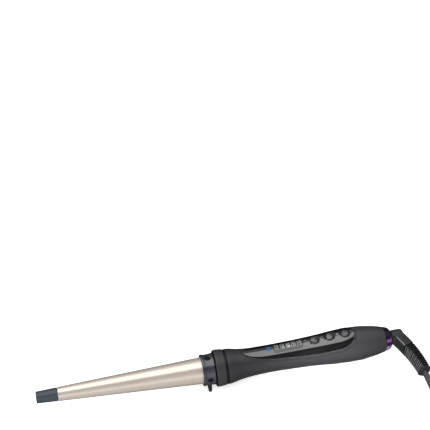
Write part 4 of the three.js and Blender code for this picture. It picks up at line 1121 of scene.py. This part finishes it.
def ribbon(points, width, surface):
    """Thin printed stroke along a plan polyline, on a surface of the given offset."""
    p = np.array(points, float)
    along = np.gradient(p, axis=0)
    closed = np.allclose(p[0], p[-1])
    if closed:
        along[0] = along[-1] = p[1] - p[-2]
    along /= np.linalg.norm(along, axis=1)[:, None]
    side = np.column_stack([-along[:, 1], along[:, 0]]) * width / 2
    low, high = surface - 0.02, surface + 0.05
    loops = []
    for a, b in zip(p - side, p + side):
        corners = [(a, low), (b, low), (b, high), (a, high)]
        loops.append([(x, y, float(surface_z(x, y, z))) for (x, y), z in corners])
    return loft(loops[:-1] if closed else loops, closed=closed)


SEGMENTS = {
    "a": ((0, 1), (1, 1)), "b": ((1, 1), (1, 0.5)), "c": ((1, 0.5), (1, 0)), "d": ((0, 0), (1, 0)),
    "e": ((0, 0.5), (0, 0)), "f": ((0, 1), (0, 0.5)), "g": ((0, 0.5), (1, 0.5)),
}
DIGITS = {"0": "abcdef", "1": "bc", "2": "abged", "5": "afgcd", "8": "abcdefg"}
LEVELS = ["120", "150", "180", "200", "220"]
DIGIT_WIDTH, DIGIT_HEIGHT, DIGIT_PITCH, LEVEL_PITCH = 0.85, 5.2, 1.62, 5.6
STROKE, TALL_GAP, WIDE_GAP = 0.2, 0.1, 0.06
strokes = []
for i, level in enumerate(LEVELS):
    middle = WINDOW_CENTRE + (i - (len(LEVELS) - 1) / 2) * LEVEL_PITCH + 0.3
    for k, digit in enumerate(level):
        left = middle + (k - 1.5) * DIGIT_PITCH
        for key in DIGITS[digit]:
            a, b = (
                np.array([left + x * DIGIT_WIDTH, (y - 0.5) * DIGIT_HEIGHT])
                for x, y in SEGMENTS[key]
            )
            gap = TALL_GAP if a[1] != b[1] else WIDE_GAP
            line = [a + (b - a) * t for t in np.linspace(gap, 1 - gap, 4)]
            strokes.append(ribbon(line, STROKE, INSERT_PROUD))
piece("window_numerals", merged(*strokes), "display_white", slot="white_plastic")


def bar(x0, x1, y, width):
    return ribbon([(x, y) for x in np.linspace(x0, x1, 5)], width, PANEL_PROUD)


turn = np.linspace(0, 2 * math.pi, 25)
circle = np.column_stack([118.5 + 0.85 * np.cos(turn), 0.85 * np.sin(turn)])
marks = [
    bar(86.8, 89.8, 1.3, 0.7), bar(86.8, 89.8, -0.9, 0.7),
    bar(102.3, 105.0, 1.0, 0.7), bar(102.3, 105.0, -1.0, 0.7),
    ribbon(circle, 0.5, PANEL_PROUD),
    bar(132.4, 133.9, 0.9, 0.5), bar(132.4, 133.9, -0.7, 0.5),
]
piece("panel_marks", merged(*marks), "mark_grey", slot="panel_gloss")

# ---------------------------------------------------------------- buttons


def button_outline(crown):
    dome_edge = crown + BUTTON_CROWN - BUTTON_DOME
    flange_low, flange_top = crown + BUTTON_FLANGE_BOTTOM, crown + BUTTON_FLANGE_TOP
    outline = eased([
        (BUTTON_STEM_BOTTOM, 0), (BUTTON_STEM_BOTTOM, BUTTON_STEM_RADIUS),
        (flange_low, BUTTON_STEM_RADIUS), (flange_low, BUTTON_FLANGE_RADIUS),
        (flange_top, BUTTON_FLANGE_RADIUS), (flange_top, BUTTON_RADIUS),
        (dome_edge - 0.2, BUTTON_RADIUS),
    ], 0.15)
    for a in np.linspace(0.08, 1, 14)[:-1] * math.pi / 2:
        height = dome_edge + BUTTON_DOME * math.sin(a)
        outline.append((height, BUTTON_RADIUS * math.cos(a) ** 0.85))
    return outline + [(crown + BUTTON_CROWN, 0)]


for name, station in BUTTONS:
    shape = vertical(button_outline(crown_at(station)), station, 0, 72)
    skin(f"{name}_button", shape, "button_plastic", body=f"{name}_button")

# ---------------------------------------------------------------- end ring and swivel

skin(
    "end_ring",
    along_x(revolve(eased(END_RING_OUTLINE, 0.7, closed=True, steps=7), 128), HANDLE_RISE),
    "purple_plastic",
)
skin(
    "swivel_journal",
    along_x(revolve(eased(JOURNAL_OUTLINE, 0.2, closed=True), 96), HANDLE_RISE),
    "black_plastic", body="cord_set",
)

# ---------------------------------------------------------------- cord guard


def guard_frame(distance):
    """Plan point and heading, in radians, of the guard's centre line."""
    first, last = GUARD_HEADINGS
    steps = 24
    x, y = GUARD_START
    for i in range(steps):
        t = (i + 0.5) / steps * distance / GUARD_LENGTH
        heading = (first + (last - first) * t) * DEG
        x += math.cos(heading) * distance / steps
        y -= math.sin(heading) * distance / steps
    return x, y, (first + (last - first) * distance / GUARD_LENGTH) * DEG


def guard_section(distance, half_width, half_height, corner, roll=0.0):
    """Rounded rectangular section across the guard, rolled about its centre line."""
    x, y, heading = guard_frame(distance)
    c, s = math.cos(roll), math.sin(roll)
    u, v = rounded(half_width, half_height, corner, 6).T
    u, v = u * c + v * s, v * c - u * s
    return np.column_stack([
        x + u * math.sin(heading), y + u * math.cos(heading), HANDLE_RISE + v,
    ])


def leg_loop(distance, inset=0.0):
    """Section of the plain leg; its first corner is rounded over."""
    cut = max(GUARD_ROUNDING - distance, 0)
    inset += GUARD_ROUNDING - math.sqrt(GUARD_ROUNDING**2 - cut**2)
    return guard_section(
        distance, GUARD_HALF_WIDTH - inset, GUARD_HALF_HEIGHT - inset, LEG_CORNER,
    )


def rib_at(distance):
    """Half width, half height and roll in radians of the ribs at a distance."""
    t = (distance - GUARD_PLAIN) / (GUARD_LENGTH - GUARD_PLAIN)
    half_width, half_height, roll = (a + (b - a) * t for a, b in zip(FIRST_RIB, LAST_RIB))
    return half_width, half_height, roll * DEG


def rib_loop(distance, inset=0.0):
    """Section of a rib or of the end block."""
    half_width, half_height, roll = rib_at(distance)
    return guard_section(distance, half_width - inset, half_height - inset, RIB_CORNER, roll)


def core_loop(distance):
    """Round section between the ribs."""
    radius = GUARD_CORE_RADIUS
    return guard_section(distance, radius, radius, radius - 0.01, rib_at(distance)[2])


loops = [leg_loop(d) for d in np.linspace(0.02, GUARD_ROUNDING, 8)]
loops += [leg_loop(d) for d in np.linspace(GUARD_ROUNDING, GUARD_PLAIN - 0.3, 12)[1:]]
loops += [leg_loop(GUARD_PLAIN, 0.25), core_loop(GUARD_PLAIN + 0.08)]
ribbed = GUARD_LENGTH - GUARD_PLAIN - GUARD_BLOCK
rib_middles = [GUARD_PLAIN + (i + 0.7) / RIB_COUNT * ribbed for i in range(RIB_COUNT)]
for middle in rib_middles:
    low, high = middle - RIB_THICKNESS / 2, middle + RIB_THICKNESS / 2
    loops += [
        core_loop(low - 0.06), rib_loop(low, 0.14), rib_loop(low + 0.2),
        rib_loop(high - 0.2), rib_loop(high, 0.14), core_loop(high + 0.06),
    ]
block_start = GUARD_LENGTH - GUARD_BLOCK
loops.append(core_loop(block_start))
loops += [rib_loop(block_start + d, inset) for d, inset in ((0.06, 0.14), (0.3, 0))]
loops += [rib_loop(GUARD_LENGTH - d, inset) for d, inset in ((0.7, 0), (0.2, 0.15), (0, 0.4))]

hub_outline = eased(rod(HUB_FRONT, HUB_BACK, HUB_RADIUS), HUB_ROUNDING, steps=10)
hub = along_x(revolve(hub_outline, 96), HANDLE_RISE)
hub_socket = along_x(
    revolve(rod(HUB_FRONT - 2, HUB_SOCKET_END, HUB_SOCKET_RADIUS), 64), HANDLE_RISE,
)
end_x, end_y, end_heading = guard_frame(GUARD_LENGTH)


def on_cord_axis(outline):
    """A shape turned about the axis of the cord socket, measured outwards from its mouth."""
    v, f = revolve(outline, 48)
    c, s = math.cos(end_heading), math.sin(end_heading)
    y, z, x = v.T
    return np.column_stack([end_x + x * c + y * s, end_y - x * s + y * c, z + HANDLE_RISE]), f


cord_socket = on_cord_axis([
    (-GUARD_SOCKET_DEPTH, 0), (-GUARD_SOCKET_DEPTH, CORD_HOLE_RADIUS), (-0.6, CORD_HOLE_RADIUS),
    (0.1, CORD_HOLE_RADIUS + 0.4), (2, CORD_HOLE_RADIUS + 0.4), (2, 0),
])
in_front = block((HUB_FRONT - 20, HUB_FRONT), (-20, 20), (-20, 20))
guard = skin(
    "cord_guard",
    carved(
        loft(loops), ("UNION", hub), ("DIFFERENCE", hub_socket), ("DIFFERENCE", cord_socket),
        ("DIFFERENCE", in_front),
    ),
    "cord_rubber", body="cord_set", angle=34, extra=("painted_highlight_rubber", "painted_gap_shade"),
)


def along_guard(c):
    """Distance along the guard, and across it to the side and up, of wand-frame points."""
    distances = np.linspace(0, GUARD_LENGTH, 261)
    x, y, heading = np.array([guard_frame(d) for d in distances]).T
    dx, dy = c[:, 0, None] - x, c[:, 1, None] - y
    nearest = np.abs(dx * np.cos(heading) - dy * np.sin(heading)).argmin(axis=1)
    side = dx * np.sin(heading) + dy * np.cos(heading)
    return distances[nearest], side[np.arange(len(c)), nearest], c[:, 2] - HANDLE_RISE


def between_ribs(c):
    d, _, _ = along_guard(c)
    from_ribs = np.min([np.abs(d - middle) for middle in rib_middles], axis=0)
    ribbed_part = (d > GUARD_PLAIN + 0.02) & (d < block_start + 0.02)
    return ribbed_part & (from_ribs > RIB_THICKNESS / 2 - 0.02)


def painted_rim_highlights(c):
    """Faces that get a painted highlight: the flanks of the ribs, and the raised edge along the
    plain leg.
    """
    d, u, v = along_guard(c)
    half_width, _, roll = rib_at(d)
    across = u * np.cos(roll) - v * np.sin(roll)
    on_rib = (d > GUARD_PLAIN + 0.3) & (d < block_start) & (across < 0.3 - half_width)
    on_leg = (d > 5) & (d < GUARD_PLAIN)
    on_edge = on_leg & (u < 0.75 - GUARD_HALF_WIDTH) & (v > GUARD_HALF_HEIGHT - 0.75)
    return on_rib & ~between_ribs(c) | on_edge


# Painted shade between the ribs, painted highlights on the rib flanks and on the leg's edge.
paint(guard, between_ribs, 2)
paint(guard, painted_rim_highlights)

# ---------------------------------------------------------------- cord and plug


def cord_axis_point(beyond, droop):
    """A point on the axis of the cord socket, in level millimetres."""
    return WAND_TURN @ np.array((
        end_x + beyond * math.cos(end_heading), end_y - beyond * math.sin(end_heading),
        HANDLE_RISE - droop,
    ))


path = spline([
    cord_axis_point(0.5 - GUARD_SOCKET_DEPTH, 0), cord_axis_point(0, 0), cord_axis_point(6, 0.4),
    *[(x, y, CORD_REST_Z + lift) for x, y, lift in CORD_TURN],
    (PLUG_X, PLUG_START_Y, PLUG_Z), (PLUG_X, PLUG_START_Y + 4.5, PLUG_Z),
], 18)


def tube(points, radius):
    """Round cord along a path, its section carried without twist."""
    tangents = np.gradient(points, axis=0)
    tangents /= np.linalg.norm(tangents, axis=1)[:, None]
    turn = np.linspace(0, 2 * math.pi, 28, endpoint=False)[:, None]
    normal = np.cross(tangents[0], (0, 0, 1.0))
    rings = []
    for p, t in zip(points, tangents):
        normal = normal - (normal @ t) * t
        normal /= np.linalg.norm(normal)
        rings.append(p + radius * (np.cos(turn) * normal + np.sin(turn) * np.cross(t, normal)))
    return loft(rings)


skin(
    "power_cord", tube(path, CORD_RADIUS), "cable_jacket", body="cord_set", slot="cord_rubber",
    place=place_ground,
)


def plug_loop(y, half_width, half_height, corner):
    corner = min(corner, half_width * 0.98, half_height * 0.98)
    u, v = rounded(half_width, half_height, corner, 8).T
    return np.column_stack([PLUG_X + u, np.full(len(u), PLUG_START_Y + y), PLUG_Z + v])


plug_loops = [plug_loop(0, PLUG_NECK_HALF_WIDTH - 1.0, 4.0, 3.9)]
for y in np.linspace(0.35, PLUG_LENGTH - 0.8, 60):
    groove = PLUG_GROOVE if 2.5 < y < 14.5 and (y * 0.55) % 1 < 0.42 else 0.0
    half_width, half_height = (float(pchip(table, y)) - groove for table in PLUG_SIDES)
    plug_loops.append(plug_loop(y, half_width, half_height, 4.2))
plug_loops.append(plug_loop(PLUG_LENGTH - 0.25, 12.1, 6.5, 4.0))
plug_loops.append(plug_loop(PLUG_LENGTH, 11.6, 6.0, 3.8))


def plug_rod(outline, x):
    """A shape turned about a line along +Y at the height of the plug."""
    v, f = revolve(outline, 48)
    return np.column_stack([v[:, 1] + x, v[:, 2], v[:, 0] + PLUG_Z]), f


plug_face = PLUG_START_Y + PLUG_LENGTH
pins = [("left", PLUG_X - PIN_SPACING / 2), ("right", PLUG_X + PIN_SPACING / 2)]
plug_cuts = [plug_rod(rod(PLUG_START_Y - 2, PLUG_START_Y + 5, CORD_HOLE_RADIUS), PLUG_X)]
pin_hole = rod(plug_face - PIN_EMBED - 0.3, plug_face + 2, PIN_RADIUS + 0.15)
plug_cuts += [plug_rod(pin_hole, x) for _, x in pins]
skin(
    "plug_body", difference(loft(plug_loops), plug_cuts), "cord_rubber", body="cord_set",
    place=place_ground, angle=34,
)
tip = plug_face + PIN_LENGTH
sleeve_end = plug_face + PIN_SLEEVE
pin_outline = [
    (plug_face - PIN_EMBED, 0), (plug_face - PIN_EMBED, PIN_RADIUS),
    (sleeve_end - 0.1, PIN_RADIUS), (sleeve_end, PIN_RADIUS - 0.12),
    (tip - 1.4, PIN_RADIUS - 0.12), (tip - 0.5, PIN_RADIUS - 0.5),
    (tip - 0.1, PIN_RADIUS - 1.1), (tip, 0),
]
sleeve_limit = place_ground((0, sleeve_end - 0.05, 0))[1]
for name, x in pins:
    pin = skin(
        f"plug_pin_{name}", plug_rod(pin_outline, x), "contact_brass", body="cord_set",
        place=place_ground, extra=("pin_sleeve",),
    )
    for face in pin.data.polygons:
        if face.center.y < sleeve_limit:
            face.material_index = 1

# ---------------------------------------------------------------- CAD nodes that stay in view

# The first key found in a node's name gives its finish.
INSIDE_LOOKS = {
    "wire": "white_wire", "lead_live": "red_wire", "lead_neutral": "blue_wire",
    "sensor_lead": "white_wire", "shoe": "aluminium_shoe", "bush": "heater_ceramic",
    "ceramic": "heater_ceramic", "sensor": "white_plastic", "fuse": "steel",
    "board": "circuit_board", "module": "white_plastic", "led": "white_plastic",
    "capacitor": "white_plastic", "plunger": "white_plastic", "slip_ring": "contact_brass",
    "holder": "black_plastic", "brush": "contact_brass",
}
for node, obj in frame["nodes"].items():
    if obj.hide_render:
        continue
    look = next((value for key, value in INSIDE_LOOKS.items() if key in node), "black_plastic")
    obj.data.materials.clear()
    obj.data.materials.append(LOOKS[look])

# ---------------------------------------------------------------- floor, light and camera


# How much the paper glows for other rays and, whiter, for the camera.
FLOOR_GLOW = (0.16, 0.62)


def studio_floor():
    """A wide pale sheet, level with the ground."""
    bm = bmesh.new()
    bmesh.ops.create_grid(bm, x_segments=24, y_segments=24, size=6)
    mesh = bpy.data.meshes.new("floor")
    bm.to_mesh(mesh)
    bm.free()
    material, n = start("floor_paper")
    seen = n.add("ShaderNodeLightPath").outputs["Is Camera Ray"]
    n.shade(
        Base_Color=n.mix(n.patches(900, 4, 0.3, 0.7, 0, 1), (0.93,) * 3, (0.95,) * 3),
        Roughness=0.9, Specular_IOR_Level=0.0, Emission_Color=(1, 1, 1),
        Emission_Strength=n.span(seen, 0, 1, *FLOOR_GLOW),
    )
    mesh.materials.append(material)
    obj = bpy.data.objects.new("floor", mesh)
    bpy.context.scene.collection.objects.link(obj)
    obj.location.z = -0.0002
    obj.visible_glossy = False
    obj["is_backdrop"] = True


studio_floor()

# What polished surfaces see, by angle up from the near side: the floor, a lit backdrop and one
# wide softbox overhead.
SURROUND = [
    (-180, 0.02), (-104, 0.03), (-84, 0.1), (-60, 0.27), (-24, 0.32), (-8, 0.5), (2, 0.72),
    (10, 0.6), (20, 0.3), (34, 0.2), (42, 0.05), (66, 0.04), (72, 1.35), (122, 1.35),
    (126, 0.34), (150, 0.28), (154, 0.03), (180, 0.02),
]
SOFT_LIGHT = 0.78
# It dims towards the cord, between two values of the direction's X, to a fraction.
REAR_DIM = (0.1, 0.55, 0.42)


def studio_world():
    """White to the camera, the surround to polished surfaces, soft even light to the rest."""
    world = bpy.data.worlds.new("studio")
    bpy.context.scene.world = world
    world.use_nodes = True
    n = Nodes(world.node_tree)
    x, y, z = n.add("ShaderNodeSeparateXYZ").outputs
    n.put(x.node.inputs[0], n.add("ShaderNodeTexCoord").outputs["Generated"])
    angle = n.math("ARCTAN2", z, n.math("MULTIPLY", y, -1.0))
    peak = max(level for _, level in SURROUND)
    stops = [((degrees + 180) / 360, (level / peak,) * 3) for degrees, level in SURROUND]
    surround = n.ramp(n.span(angle, -math.pi, math.pi, 0, 1), stops)
    start_x, end_x, dimmed = REAR_DIM
    surround = n.mix(1.0, surround, n.span(x, start_x, end_x, 1.0, dimmed), "MULTIPLY")

    def background(colour, strength):
        node = n.add("ShaderNodeBackground")
        n.put(node.inputs["Color"], colour)
        n.put(node.inputs["Strength"], strength)
        return node.outputs[0]

    def chosen(ray, otherwise, then):
        node = n.add("ShaderNodeMixShader")
        for socket, value in zip(node.inputs, (path.outputs[ray], otherwise, then)):
            n.put(socket, value)
        return node.outputs[0]

    path = n.add("ShaderNodeLightPath")
    lit = chosen("Is Glossy Ray", background((1, 1, 1), SOFT_LIGHT), background(surround, peak))
    out = n.add("ShaderNodeOutputWorld")
    n.put(out.inputs["Surface"], chosen("Is Camera Ray", lit, background((1, 1, 1), 1.0)))
    world.cycles.sampling_method = "NONE"


studio_world()


def softbox(name, location, target, size, power, spread=180):
    data = bpy.data.lights.new(name, "AREA")
    data.shape = "RECTANGLE"
    data.size, data.size_y = size
    data.energy = power
    data.spread = spread * DEG
    obj = bpy.data.objects.new(name, data)
    bpy.context.scene.collection.objects.link(obj)
    obj.location = location
    direction = Vector(target) - Vector(location)
    obj.rotation_euler = direction.to_track_quat("-Z", "Y").to_euler()
    obj.visible_glossy = False


softbox("key", (-0.45, -0.3, 1.2), (0.0, 0.05, 0.0), (1.2, 0.9), 7.0)
softbox("handle_fill", (-0.02, -0.5, 0.36), (0.06, 0.05, 0.03), (0.03, 0.03), 0.04, spread=14)

# Camera: where it stood, in wand millimetres, and how it looked at the wand, in radians.
CAMERA_POINT = (-111.98, -651.76, 677.52)
CAMERA_AZIMUTH, CAMERA_ELEVATION, CAMERA_ROLL = 0.1785, 0.6454, 0.0329
CAMERA_LENS = 83.72


def photo_camera():
    ca, sa = math.cos(CAMERA_AZIMUTH), math.sin(CAMERA_AZIMUTH)
    ce, se = math.cos(CAMERA_ELEVATION), math.sin(CAMERA_ELEVATION)
    forward = Vector((sa * ce, ca * ce, -se))
    level_right = forward.cross(Vector((0, 0, 1))).normalized()
    level_down = forward.cross(level_right)
    cr, sr = math.cos(CAMERA_ROLL), math.sin(CAMERA_ROLL)
    right = level_right * cr + level_down * sr
    down = level_down * cr - level_right * sr
    data = bpy.data.cameras.new("camera")
    data.lens = CAMERA_LENS
    data.sensor_width = 36
    obj = bpy.data.objects.new("camera", data)
    bpy.context.scene.collection.objects.link(obj)
    matrix = (Matrix(WAND_TURN.tolist()) @ Matrix((right, -down, -forward)).transposed()).to_4x4()
    matrix.translation = Vector(place_wand(CAMERA_POINT))
    obj.matrix_world = matrix
    bpy.context.scene.camera = obj


photo_camera()
bpy.context.scene.view_settings.view_transform = "Standard"
bpy.context.scene.view_settings.look = "None"

visual_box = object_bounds()


def plain(value):
    """Any nesting of vectors as plain lists of numbers."""
    try:
        return [plain(v) for v in value]
    except TypeError:
        return float(value)


{"cad": plain(cad_box), "visual": plain(visual_box)}
